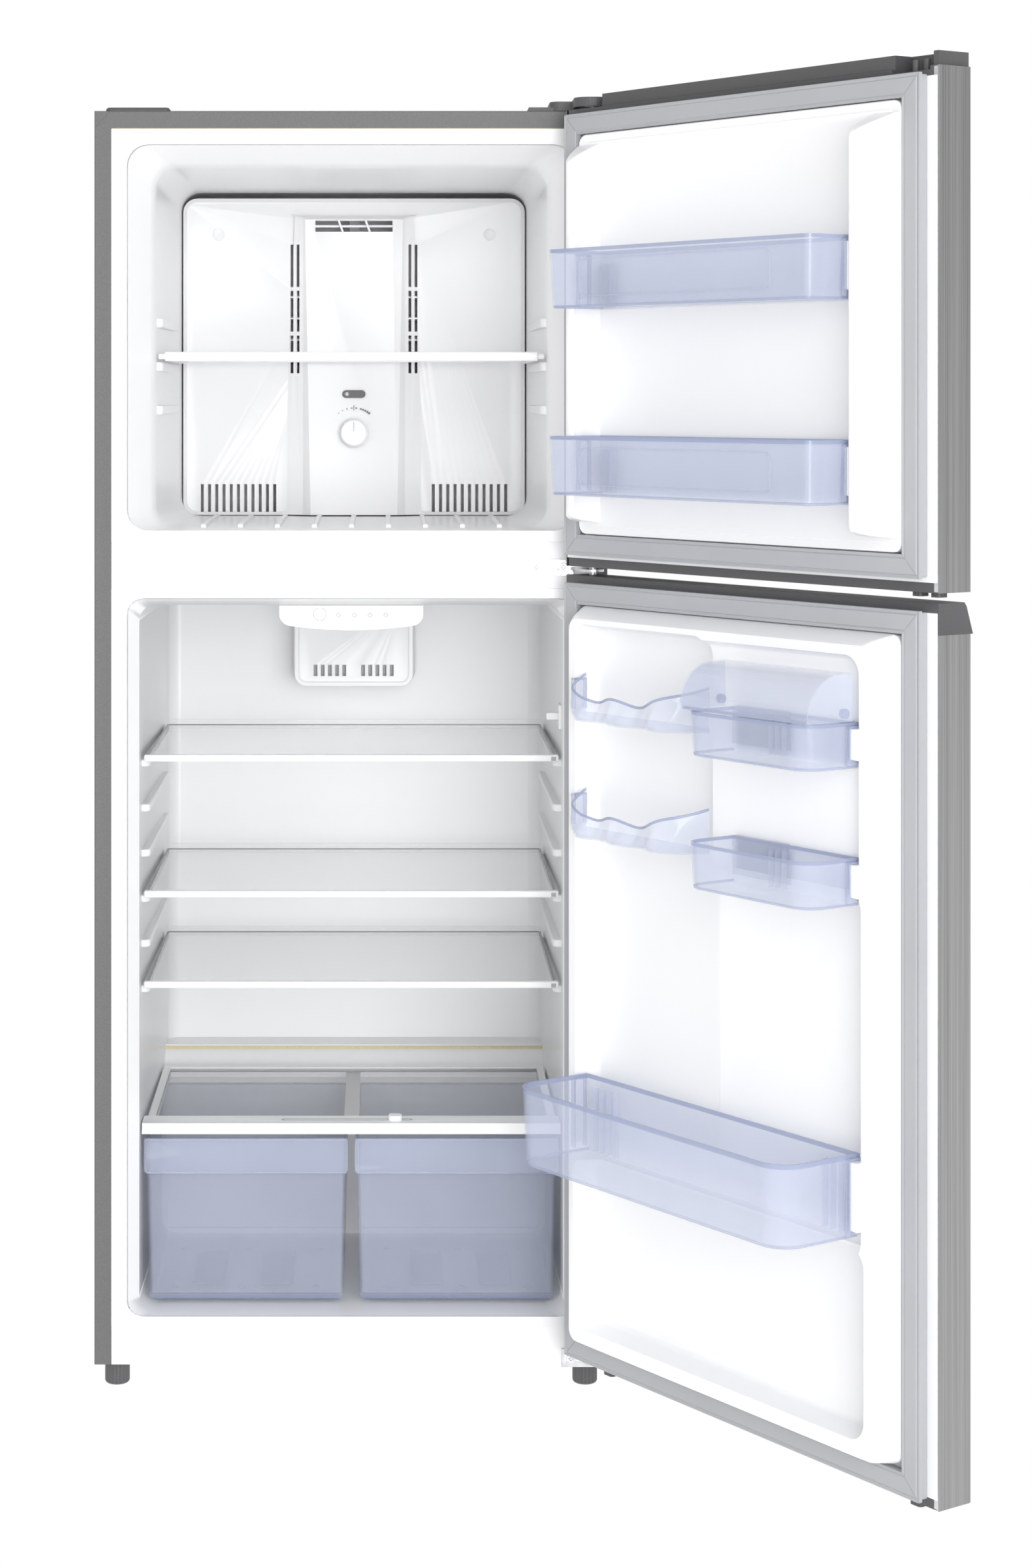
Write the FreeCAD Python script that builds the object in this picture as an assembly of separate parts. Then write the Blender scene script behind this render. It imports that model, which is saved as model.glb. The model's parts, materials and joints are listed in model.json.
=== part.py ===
import FreeCAD, Part
import math
import os

# Top freezer refrigerator, both doors standing open. Millimetres, +Z up, floor at Z = 0,
# X = 0 at the middle of the cabinet, Y = 0 at the cabinet's front plane, doors towards -Y.

Vector = FreeCAD.Vector

# ---- overall sizes
WIDTH = 600.0
DEPTH = 560.0
FOOT_HEIGHT = 28.0
CABINET_HEIGHT = 1466.0
BOTTOM = FOOT_HEIGHT
TOP = BOTTOM + CABINET_HEIGHT
HALF = WIDTH / 2

# ---- sheets and walls
SHEET = 1.0
LINER = 2.0
GLASS = 4.0
FRAME = 20.0
BAND_TOP = 21.0
SKIN = 1.0
BIN_WALL = 2.0
DRAWER_WALL = 2.5

# ---- cabinet openings
MOUTH_SIDE = 38.0
PANEL_EDGE = HALF - FRAME
MOUTH = HALF - MOUTH_SIDE
FREEZER_PART = 504.0
MULLION_HEIGHT = 55.0
MOUTH_FLANGE = 11.0
BOTTOM_PANEL_TOP = BOTTOM + 45.0
MULLION_TOP = TOP - FREEZER_PART
MULLION_BOTTOM = MULLION_TOP - MULLION_HEIGHT
FRIDGE_FLOOR = BOTTOM_PANEL_TOP + MOUTH_FLANGE
FRIDGE_CEILING = MULLION_BOTTOM - MOUTH_FLANGE
FREEZER_FLOOR = MULLION_TOP + 13.0
FREEZER_CEILING = TOP - BAND_TOP - 18.0
FRIDGE_BACK_FOAM = 120.0
FREEZER_BACK_FOAM = 90.0
FRIDGE_BACK = DEPTH - FRIDGE_BACK_FOAM
FREEZER_BACK = DEPTH - FREEZER_BACK_FOAM

# side, floor and ceiling drafts and the corner radius, at the mouth, behind it and at the back
FRIDGE_TAPER = ((0.0, 0.0, 0.0, 18.0), (13.0, 1.0, 9.0, 21.0), (18.0, 3.0, 12.0, 21.0))
FREEZER_TAPER = ((0.0, 0.0, 0.0, 24.0), (30.0, 1.0, 24.0, 24.0), (40.0, 2.0, 32.0, 20.0))
MOUTH_RUN = 20.0
FREEZER_RUN = 50.0

# ---- compressor step at the bottom of the back wall
STEP_FRONT = FRIDGE_BACK - 95.0
STEP_KNEE = BOTTOM + 234.0
STEP_TOP = BOTTOM + 290.0
STEP_BACK = STEP_FRONT + 50.0
STEP_FOAM = 48.0

# ---- doors, drawn closed and then swung open
PIVOT_X = HALF - 20.0
PIVOT_Y = -38.0
OPEN_ANGLE = 124.6
DOOR_FRONT = -63.0
DOOR_REAR = -15.0
DOOR_EDGE = 6.0
GASKET_OUT = HALF - 14.0
GASKET_WIDTH = 24.0
GASKET_GAP = 1.0
DOOR_GAP = 10.0
FREEZER_DOOR = (MULLION_TOP - 26.0, TOP - 3.0)
FREEZER_CAP_TOP = TOP + 12.0
FREEZER_SKIN_TOP = TOP + 9.0
FRIDGE_DOOR = (BOTTOM + 22.0, FREEZER_DOOR[0] - DOOR_GAP)
FREEZER_GASKET = (MULLION_TOP - 12.0, TOP - 10.0)
FRIDGE_GASKET = (BOTTOM_PANEL_TOP - 16.0, MULLION_BOTTOM + 11.0)
DOOR_CLEAR = 2.0
CAP = 10.0
CAP_CLEAR = 0.2
GRIP_DROP = 32.0
GRIP_DEPTH = 9.0

# ---- hinge pins and their sockets
PIN_R = 4.0
PIN_FIT = 0.05
PIN_LENGTH = 12.0
HINGE_PLATE = 3.0

# ---- things in the compartments
SHELF_FRONT = 40.0
SHELF_BACK = FRIDGE_BACK - 55.0
SHELF_GAP = 3.5
RIB_PITCH = 53.6
TOP_SHELF = FRIDGE_CEILING - 189.0
RIB_HEIGHT = 9.0
RIB_DEPTH = 11.0
RIB_FRONT = 52.0
RIB_BACK = SHELF_BACK - 13.0
FREEZER_SHELF_TOP = FREEZER_FLOOR + 210.0
FREEZER_SHELF_BACK = FREEZER_BACK - 98.0
DRAWER_BOTTOM = FRIDGE_FLOOR + 2.5
DRAWER_TOP = DRAWER_BOTTOM + 196.5
DRAWER_FRONT = 42.0
DRAWER_GAP = 8.0
COVER_TOP = DRAWER_TOP + 19.0
SHELF_ROOM = 60.0
RIB_STEP = min(RIB_PITCH, (TOP_SHELF - COVER_TOP - SHELF_ROOM) / 5)
SHELF_TOPS = (TOP_SHELF, TOP_SHELF - 3 * RIB_STEP, TOP_SHELF - 5 * RIB_STEP)
COVER_FRAME = 13.0
COVER_BACK = STEP_FRONT - 1.0
CLEAR = 0.5
SLIDE_CLEAR = 1.0


def box(x0, x1, y0, y1, z0, z1):
    low = Vector(min(x0, x1), min(y0, y1), min(z0, z1))
    return Part.makeBox(abs(x1 - x0), abs(y1 - y0), abs(z1 - z0), low)


def cylinder(x, y, z, radius, height, axis=(0, 0, 1)):
    return Part.makeCylinder(radius, height, Vector(x, y, z), Vector(*axis))


def rounded_wire(x0, x1, z0, z1, radius, y):
    """A rounded rectangle in the plane Y = y."""
    r = min(radius, (x1 - x0) / 2 - 0.01, (z1 - z0) / 2 - 0.01)
    edges = []
    corners = [(x1 - r, z1 - r, 0), (x0 + r, z1 - r, 90), (x0 + r, z0 + r, 180), (x1 - r, z0 + r, 270)]
    ends = []
    for cx, cz, start in corners:
        points = []
        for turn in (0, 45, 90):
            angle = math.radians(start + turn)
            points.append(Vector(cx + r * math.cos(angle), y, cz + r * math.sin(angle)))
        edges.append(Part.Arc(*points).toShape())
        ends.append((points[0], points[2]))
    wire = []
    for i, arc in enumerate(edges):
        wire.append(arc)
        wire.append(Part.makeLine(ends[i][1], ends[(i + 1) % 4][0]))
    return Part.Wire(wire)


def rounded_prism(x0, x1, y0, y1, z0, z1, radius):
    face = Part.Face(rounded_wire(x0, x1, z0, z1, radius, y0))
    return face.extrude(Vector(0, y1 - y0, 0))


def upright_prism(x0, x1, y0, y1, z0, z1, radius):
    """A box whose four upright edges are round."""
    solid = rounded_prism(x0, x1, 0, z1 - z0, -y1, -y0, radius)
    solid.rotate(Vector(0, 0, 0), Vector(1, 0, 0), 90)
    solid.translate(Vector(0, 0, z0))
    return solid


def profile_prism(points, x0, x1):
    """A closed outline of (Y, Z) points, run along X."""
    corners = [Vector(x0, y, z) for y, z in points]
    wire = Part.makePolygon(corners + corners[:1])
    return Part.Face(wire).extrude(Vector(x1 - x0, 0, 0))


def plan_prism(points, z0, z1):
    """A closed outline of (X, Y) points, run along Z."""
    corners = [Vector(x, y, z0) for x, y in points]
    wire = Part.makePolygon(corners + corners[:1])
    return Part.Face(wire).extrude(Vector(0, 0, z1 - z0))


def mirrored(shape):
    return shape.mirror(Vector(0, 0, 0), Vector(1, 0, 0))


def joined(shapes):
    first, rest = shapes[0], shapes[1:]
    return first.fuse(rest).removeSplitter() if rest else first


def along(first, last, count):
    """Evenly spaced places from first to last."""
    return [first + (last - first) * i / (count - 1) for i in range(count)]


# ---------------------------------------------------------------- cabinet


def tub(sections):
    """A tapering tub, given its rounded section at each depth."""
    wires = [rounded_wire(-half, half, z0, z1, r, y) for y, half, z0, z1, r in sections]
    return Part.makeLoft(wires, True, True)


def step_profile(grow):
    """The step over the compressor, with the liner's wall thickness taken off."""
    return [
        (STEP_FRONT + grow, 0),
        (STEP_FRONT + grow, STEP_KNEE - grow),
        (STEP_BACK + grow, STEP_TOP - grow),
        (DEPTH, STEP_TOP - grow),
        (DEPTH, 0),
    ]


def tapering(depths, floor, ceiling, taper, grow):
    """The outlines of a compartment at its mouth, at the end of its slope and at its back."""
    outlines = []
    for depth, (side, rise, fall, corner) in zip(depths, taper):
        low, high = floor + rise - grow, ceiling - fall + grow
        outlines.append((depth, MOUTH - side + grow, low, high, corner + grow))
    return outlines


def fridge_space(grow, front=0.0):
    """The fresh food compartment's air, grown by its wall where the outside is wanted."""
    depths = (front, MOUTH_RUN, FRIDGE_BACK + grow)
    solid = tub(tapering(depths, FRIDGE_FLOOR, FRIDGE_CEILING, FRIDGE_TAPER, grow))
    return solid.cut(profile_prism(step_profile(grow), -HALF, HALF))


def freezer_space(grow, front=0.0):
    """The freezer compartment's air, grown by its wall where the outside is wanted."""
    depths = (front, FREEZER_RUN, FREEZER_BACK + grow)
    return tub(tapering(depths, FREEZER_FLOOR, FREEZER_CEILING, FREEZER_TAPER, grow))


def wall_at(taper, run, back, y):
    """Half the inner width of a compartment at depth y, behind its sloping mouth."""
    side, rear = taper[1][0], taper[2][0]
    share = (y - run) / (back - run)
    return MOUTH - side - (rear - side) * share


def mouth_at(taper, run, floor, ceiling, y):
    """Half the width, the floor and the ceiling of a compartment's sloping mouth at depth y."""
    side, rise, fall, _ = taper[1]
    share = min(1.0, max(0.0, y) / run)
    return MOUTH - side * share, floor + rise * share, ceiling - fall * share


def fridge_mouth(y):
    return mouth_at(FRIDGE_TAPER, MOUTH_RUN, FRIDGE_FLOOR, FRIDGE_CEILING, y)


def freezer_mouth(y):
    return mouth_at(FREEZER_TAPER, FREEZER_RUN, FREEZER_FLOOR, FREEZER_CEILING, y)


def fridge_wall(y):
    return wall_at(FRIDGE_TAPER, MOUTH_RUN, FRIDGE_BACK, y)


def freezer_wall(y):
    return wall_at(FREEZER_TAPER, FREEZER_RUN, FREEZER_BACK, y)


def cabinet_shell():
    outer = box(-HALF, HALF, 0, DEPTH, BOTTOM, TOP)
    hollow = box(-HALF + SHEET, HALF - SHEET, SHEET, DEPTH + 1, BOTTOM - 1, TOP - SHEET)
    front = box(-PANEL_EDGE, PANEL_EDGE, -1, SHEET + 1, BOTTOM - 1, TOP - BAND_TOP)
    return outer.cut(hollow).cut(front)


def back_panel():
    plate = box(-HALF + SHEET, HALF - SHEET, DEPTH - SHEET, DEPTH, STEP_TOP - STEP_FOAM, TOP - SHEET)
    ribs = []
    for x in along(-HALF + 75, HALF - 75, 6):
        ribs.append(box(x - 6, x + 6, DEPTH - SHEET, DEPTH + 2, STEP_TOP, TOP - 90))
    return joined([plate] + ribs)


def machine_space():
    """The compressor's space under the foam."""
    return profile_prism([
        (STEP_FRONT + STEP_FOAM, 0),
        (STEP_FRONT + STEP_FOAM, STEP_KNEE - STEP_FOAM),
        (STEP_BACK + STEP_FOAM, STEP_TOP - STEP_FOAM),
        (DEPTH + 1, STEP_TOP - STEP_FOAM),
        (DEPTH + 1, 0),
    ], -HALF, HALF)


def insulation_foam():
    body = box(-HALF + SHEET, HALF - SHEET, LINER, DEPTH - SHEET, BOTTOM + BASE_SHEET, TOP - SHEET)
    body = body.cut(fridge_space(LINER)).cut(freezer_space(LINER)).cut(machine_space())
    for x in (-FOOT_X, FOOT_X):
        body = body.cut(cylinder(x, FOOT_Y, BOTTOM, STUD_R + 3, STUD_LENGTH + 4))
    return body


def liner_sheet(space, z0, z1):
    """A flange on the front and the tub behind it."""
    flange = box(-PANEL_EDGE, PANEL_EDGE, 0, LINER, z0, z1)
    shell = space(LINER)
    return joined([flange, shell]).cut(space(0, -0.01))


def shelf_ribs(levels, wall, y0, y1, depth, height):
    """Rails on both side walls; each ends against the wall, whose draft it follows."""
    rails = []
    for level in levels:
        near, far = wall(y0), wall(y1)
        outline = [(-near - 1, y0), (-near + depth, y0 + depth), (-far + depth, y1), (-far - 1, y1)]
        rail = plan_prism(outline, level - height, level)
        rails += [rail, mirrored(rail)]
    return rails


def fridge_rib_levels():
    top = SHELF_TOPS[0] - GLASS - 1.5
    return [top - RIB_STEP * i for i in range(6)]


def fridge_liner():
    sheet = liner_sheet(fridge_space, BOTTOM_PANEL_TOP, MULLION_BOTTOM)
    ribs = shelf_ribs(fridge_rib_levels(), fridge_wall, RIB_FRONT, RIB_BACK, RIB_DEPTH, RIB_HEIGHT)
    ribs += shelf_ribs([COVER_TOP - COVER_FRAME - 0.2], fridge_wall, 90, COVER_BACK - 14, 8, 5)
    return joined([sheet] + ribs)


def freezer_rail_levels():
    level = FREEZER_SHELF_TOP - 12
    return [level + 52, level, level - 52]


def freezer_liner():
    sheet = liner_sheet(freezer_space, MULLION_TOP, TOP - BAND_TOP)
    rails = shelf_ribs(freezer_rail_levels(), freezer_wall, 66, FREEZER_SHELF_BACK, 7, 11)
    floor = []
    end = freezer_wall(FREEZER_SHELF_BACK) - 48
    for x in along(-end, end, 9):
        floor.append(box(x - 3, x + 3, 62, FREEZER_SHELF_BACK - 12, FREEZER_FLOOR, FREEZER_FLOOR + 6))
    return joined([sheet] + rails + floor)


def mullion_panel():
    panel = box(-PANEL_EDGE, PANEL_EDGE, 0, LINER, MULLION_BOTTOM, MULLION_TOP)
    for x, z in hinge_holes() + mullion_plug_places():
        panel = panel.cut(cylinder(x, -1, z, SCREW_R, LINER + 2, (0, 1, 0)))
    return panel


def bottom_panel():
    panel = box(-PANEL_EDGE, PANEL_EDGE, 0, LINER, BOTTOM, BOTTOM_PANEL_TOP)
    for x, z in bottom_hinge_holes() + [(-MOUTH, BOTTOM + 9)]:
        panel = panel.cut(cylinder(x, -1, z, SCREW_R, LINER + 2, (0, 1, 0)))
    return panel


# ---------------------------------------------------------------- freezer fittings

PANEL_FACE = FREEZER_BACK - 75.0
DUCT_FACE = PANEL_FACE - 19.0
DUCT_HALF = 92.0
DUCT_FRONT_HALF = 56.0
PANEL_TOP = FREEZER_CEILING - 38.0
DUCT_TOP = PANEL_TOP - 17.0
KNOB_Z = FREEZER_FLOOR + 110.0
KNOB_R = 18.5
KNOB_DEPTH = 16.0
KNOB_SHAFT = 3.0
VENT_Z = (FREEZER_FLOOR + 7.0, FREEZER_FLOOR + 43.0)
VENT_PITCH = 9.4
VENT_WIDTH = 4.0
SIDE_VENTS = ((187.0, 236.0), (241.0, 294.0), (299.0, 354.0))
PANEL_HALF = freezer_wall(PANEL_FACE) - 2.0
PANEL_PLUG_X = PANEL_HALF - 46.0
PANEL_PLUG_Z = PANEL_TOP - 47.0


def freezer_back_panel():
    z0 = FREEZER_FLOOR + 3
    plate = rounded_prism(-PANEL_HALF, PANEL_HALF, PANEL_FACE, PANEL_FACE + LINER, z0, PANEL_TOP, 18)
    outer = [
        (-DUCT_HALF, PANEL_FACE + LINER), (-DUCT_HALF, PANEL_FACE), (-DUCT_HALF + 14, PANEL_FACE - 8),
        (-DUCT_FRONT_HALF, DUCT_FACE), (DUCT_FRONT_HALF, DUCT_FACE), (DUCT_HALF - 14, PANEL_FACE - 8),
        (DUCT_HALF, PANEL_FACE), (DUCT_HALF, PANEL_FACE + LINER),
    ]
    inner = [(x * 0.97, y + LINER) for x, y in outer[1:-1]]
    inner = [(inner[0][0], PANEL_FACE + LINER + 1)] + inner + [(inner[-1][0], PANEL_FACE + LINER + 1)]
    duct = plan_prism(outer, z0, DUCT_TOP)
    panel = joined([plate, duct]).cut(plan_prism(inner, z0 + LINER, DUCT_TOP - LINER))
    cuts = []
    for row, (x0, x1) in enumerate(((-52, 52), (-47, 47))):
        z = DUCT_TOP - 12 - 8.5 * row
        cuts.append(box(x0, x1, DUCT_FACE - 2, DUCT_FACE + LINER + 2, z - 6.5, z))
    for side in (-1, 1):
        for low, high in SIDE_VENTS:
            for offset in (72.5, 80.5):
                cuts.append(box(side * (offset - 2), side * (offset + 2), DUCT_FACE, PANEL_FACE + 6,
                                FREEZER_FLOOR + low, FREEZER_FLOOR + high))
        for i in range(11):
            x = side * (DUCT_HALF + 11 + VENT_PITCH * i)
            cuts.append(box(x - VENT_WIDTH / 2, x + VENT_WIDTH / 2, PANEL_FACE - 2, PANEL_FACE + 5, *VENT_Z))
    cuts.append(cylinder(0, DUCT_FACE - 2, KNOB_Z, KNOB_SHAFT + PIN_FIT, 6, (0, 1, 0)))
    for x in (-PANEL_PLUG_X, PANEL_PLUG_X):
        cuts.append(cylinder(x, PANEL_FACE - 2, PANEL_PLUG_Z, 5, 6, (0, 1, 0)))
    return panel.cut(Part.makeCompound(cuts))


def temperature_knob():
    y = DUCT_FACE - 0.6
    disc = cylinder(0, y, KNOB_Z, KNOB_R, 5, (0, -1, 0))
    grip = cylinder(0, y - 5, KNOB_Z, KNOB_R - 2.5, KNOB_DEPTH - 5, (0, -1, 0))
    grip = grip.makeFillet(1.5, [e for e in grip.Edges if e.CenterOfMass.y < y - KNOB_DEPTH + 0.1])
    pointer = box(-0.8, 0.8, y - KNOB_DEPTH - 0.6, y - KNOB_DEPTH + 2, KNOB_Z + 3, KNOB_Z + KNOB_R - 4)
    shaft = cylinder(0, y - 3, KNOB_Z, KNOB_SHAFT, 11, (0, 1, 0))
    return joined([disc, grip, pointer, shaft])


FAN_Z = PANEL_TOP - 65.0
FAN_Y = FREEZER_BACK - 46.0
FAN_R = 48.0
FAN_SHAFT = 2.5
COIL_TUBE = 4.0


def evaporator():
    """Aluminium fins with the tube run through them, and the defrost heater under them."""
    y0, y1 = PANEL_FACE + 22, FREEZER_BACK - 6
    half = freezer_wall(FREEZER_BACK) - 42
    top = FAN_Z - FAN_R - 6
    rows = along(top - 148, top - 8, 6)
    fins = []
    for x in along(-half + 15, half - 15, 23):
        fins.append(box(x - 0.5, x + 0.5, y0, y1, top - 163, top))
    tubes = []
    for depth in (y0 + 12, y1 - 12):
        for i, z in enumerate(rows):
            tubes.append(cylinder(-half, depth, z, COIL_TUBE, 2 * half, (1, 0, 0)))
            side = half if i % 2 == 0 else -half
            if i + 1 < len(rows):
                tubes.append(cylinder(side, depth, z, COIL_TUBE, rows[i + 1] - z, (0, 0, 1)))
    for x, z in ((-half, rows[0]), (half, rows[-1])):
        tubes.append(cylinder(x, y0 + 12, z, COIL_TUBE, y1 - y0 - 24, (0, 1, 0)))
    coil = joined(fins + tubes)
    middle = (y0 + y1) / 2
    low = top - 188
    heater = [cylinder(-half + 10, middle, low, 5, 2 * half - 20, (1, 0, 0))]
    for x in (-half + 10, half - 10):
        heater.append(cylinder(x, middle, low, 3, 22, (0, 0, 1)))
    return Part.makeCompound([coil, joined(heater)])


def evaporator_fan_motor():
    can = cylinder(0, FAN_Y + 10, FAN_Z, 20, 26, (0, 1, 0))
    flange = box(-60, 60, FREEZER_BACK - 10, FREEZER_BACK - 6, FAN_Z - 12, FAN_Z + 12)
    back = cylinder(0, FAN_Y + 30, FAN_Z, 12, FREEZER_BACK - 8 - FAN_Y - 30, (0, 1, 0))
    shaft = cylinder(0, FAN_Y - 8, FAN_Z, FAN_SHAFT, 22, (0, 1, 0))
    return joined([can, flange, back, shaft])


def evaporator_fan():
    hub = cylinder(0, FAN_Y - 6, FAN_Z, 12, 14, (0, 1, 0))
    blades = []
    for i in range(5):
        blade = box(-7, 7, FAN_Y, FAN_Y + 2, FAN_Z + 9, FAN_Z + FAN_R)
        blade.rotate(Vector(0, FAN_Y + 1, FAN_Z), Vector(0, 0, 1), 28)
        blade.rotate(Vector(0, 0, FAN_Z), Vector(0, 1, 0), 72 * i)
        blades.append(blade)
    fan = joined([hub] + blades)
    return fan.cut(cylinder(0, FAN_Y - 10, FAN_Z, FAN_SHAFT + PIN_FIT, 30, (0, 1, 0)))


def freezer_shelf():
    """A clear plate in a white frame with a peg at each front end."""
    top = FREEZER_SHELF_TOP
    y0, y1 = 50.0, FREEZER_SHELF_BACK
    half = freezer_wall(y1) - 3
    bar = box(-half, half, y0, y0 + 12, top - 11, top)
    rear = box(-half, half, y1 - 10, y1, top - 9, top - 1)
    sides = [box(s * (half - 7), s * half, y0 + 6, y1 - 5, top - 11, top - 2) for s in (-1, 1)]
    pegs = [cylinder(s * (half - 2), y0 + 6, top - 5.5, 3.5, 10, (s, 0, 0)) for s in (-1, 1)]
    frame = joined([bar, rear] + sides + pegs)
    groove = box(-half + 4, half - 4, y0 + 8, y1 - 6, top - 8, top - 8 + GLASS)
    plate = box(-half + 4, half - 4, y0 + 8, y1 - 6, top - 8, top - 8 + GLASS)
    return Part.makeCompound([frame.cut(groove), plate])


# ---------------------------------------------------------------- fridge fittings

HOUSING = (85.0, 32.0, 205.0, FRIDGE_CEILING - 40.0)
BUTTON_X = -37.0
BUTTON_Z = FRIDGE_CEILING - 21.0
BUTTON_R = 6.0
BUTTON_TRAVEL = 2.0
COVER_HALF = 80.0
COVER_FACE = FRIDGE_BACK - 92.0
COVER_BOTTOM = FRIDGE_CEILING - 140.0


def housing_outline():
    """The control housing's curved outline, in (X, Z)."""
    half, y0, y1, z = HOUSING
    arc = Part.Arc(Vector(-half + 10, y0, z + 7), Vector(0, y0, z), Vector(half - 10, y0, z + 7)).toShape()
    left = Part.makeLine(Vector(-half, y0, FRIDGE_CEILING - 6), Vector(-half, y0, z + 20))
    right = Part.makeLine(Vector(half, y0, z + 20), Vector(half, y0, FRIDGE_CEILING - 6))
    down = Part.Arc(Vector(-half, y0, z + 20), Vector(-half + 3.5, y0, z + 11), Vector(-half + 10, y0, z + 7))
    up = Part.Arc(Vector(half - 10, y0, z + 7), Vector(half - 3.5, y0, z + 11), Vector(half, y0, z + 20))
    roof = Part.makeLine(Vector(half, y0, FRIDGE_CEILING - 6), Vector(-half, y0, FRIDGE_CEILING - 6))
    return Part.Wire([left, down.toShape(), arc, up.toShape(), right, roof])


def control_housing():
    half, y0, y1, z = HOUSING
    solid = Part.Face(housing_outline()).extrude(Vector(0, y1 - y0, 0))
    solid = solid.common(fridge_space(-0.2))
    solid = solid.cut(box(-half + 3, half - 3, y0 + 3, y1 - 3, z + 10, FRIDGE_CEILING - 13))
    solid = solid.cut(cylinder(BUTTON_X, y0 - 2, BUTTON_Z, BUTTON_R + CLEAR / 2, 10, (0, 1, 0)))
    for x in lamp_places():
        solid = solid.cut(cylinder(x, y0 - 2, BUTTON_Z - 1, 2, 8, (0, 1, 0)))
    return solid


def lamp_places():
    return along(-15, 41, 4)


def set_button():
    y0 = HOUSING[1]
    front = y0 - BUTTON_TRAVEL - 0.8
    cap = cylinder(BUTTON_X, front, BUTTON_Z, BUTTON_R, y0 + 4 - front, (0, 1, 0))
    flange = cylinder(BUTTON_X, y0 + 3.3, BUTTON_Z, BUTTON_R + 1, 1.5, (0, 1, 0))
    return joined([cap, flange])


def air_duct_cover():
    """The white cover on the back wall that lets cold air down into the compartment."""
    top = FRIDGE_CEILING - 19
    face = rounded_prism(-COVER_HALF, COVER_HALF, COVER_FACE, FRIDGE_BACK - 4, COVER_BOTTOM, top, 16)
    hollow = rounded_prism(-COVER_HALF + 2, COVER_HALF - 2, COVER_FACE + 2, FRIDGE_BACK,
                           COVER_BOTTOM + 2, top - 2, 14)
    cover = face.cut(hollow)
    for start in (-49, 12):
        for i in range(5):
            x = start + 9.2 * i
            cover = cover.cut(box(x - 2, x + 2, COVER_FACE - 2, COVER_FACE + 4,
                                  COVER_BOTTOM + 17, COVER_BOTTOM + 31))
    return cover


def fridge_shelf(top):
    """A glass shelf with a white front bar, thin side trims and a rear lip."""
    half = fridge_wall(SHELF_BACK) - SHELF_GAP
    lip = fridge_wall(SHELF_FRONT) - SHELF_GAP
    glass = box(-half, half, SHELF_FRONT + 5, SHELF_BACK - 2, top - GLASS, top)
    bar = box(-lip, lip, SHELF_FRONT, SHELF_FRONT + 9, top - 7, top + 1)
    rear = box(-half, half, SHELF_BACK - 6, SHELF_BACK, top - 5, top + 7)
    sides = []
    for s in (-1, 1):
        sides.append(box(s * (half - 5), s * (half + 1.5), SHELF_FRONT + 9, SHELF_BACK - 6,
                         top - 5.5, top + 1))
    slot = box(-half, half, SHELF_FRONT + 5, SHELF_BACK - 2, top - GLASS, top)
    trim = joined([bar, rear] + sides).cut(slot)
    return Part.makeCompound([trim, glass])


def crisper_cover_glass():
    half = fridge_wall(COVER_BACK) - SHELF_GAP
    return box(-half, half, 66, COVER_BACK - 2, COVER_TOP - 2 - GLASS, COVER_TOP - 2)


SLIDER_X = (-80.0, 70.0)
SLIDER_REST = 52.0
SLIDER_HALF = 8.0
SLIDER_HEIGHT = 6.0


def crisper_cover_frame():
    half = fridge_wall(DRAWER_FRONT) - 1.5
    low = COVER_TOP - COVER_FRAME
    front = box(-half, half, 34, 72, low, COVER_TOP)
    under = box(-half + 3, half - 3, 37, 80, low - 1, low + 9)
    front = front.cut(under)
    inner = fridge_wall(COVER_BACK) - SHELF_GAP
    sides = [box(s * (inner - 8), s * (inner + 1), 70, COVER_BACK - 4, low, COVER_TOP) for s in (-1, 1)]
    middle = box(-9, 9, 70, COVER_BACK - 4, low, COVER_TOP - 6)
    rear = box(-inner, inner, COVER_BACK - 12, COVER_BACK, low, COVER_TOP)
    frame = joined([front, middle, rear] + sides)
    frame = frame.cut(crisper_cover_glass())
    slot = box(SLIDER_X[0], SLIDER_X[1], 50, 54, COVER_TOP - 8, COVER_TOP + 1)
    return frame.cut(slot)


def humidity_slider():
    y = 52.0
    neck = box(SLIDER_REST - 5, SLIDER_REST + 5, y - 1.7, y + 1.7, COVER_TOP - 6, COVER_TOP + 1)
    knob = upright_prism(SLIDER_REST - SLIDER_HALF, SLIDER_REST + SLIDER_HALF, y - 8, y + 8,
                         COVER_TOP + 0.4, COVER_TOP + SLIDER_HEIGHT, 4)
    foot = box(SLIDER_REST - 5, SLIDER_REST + 5, y - 5, y + 5, COVER_TOP - 7.5, COVER_TOP - 4.4)
    return joined([neck, knob, foot])


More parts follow.
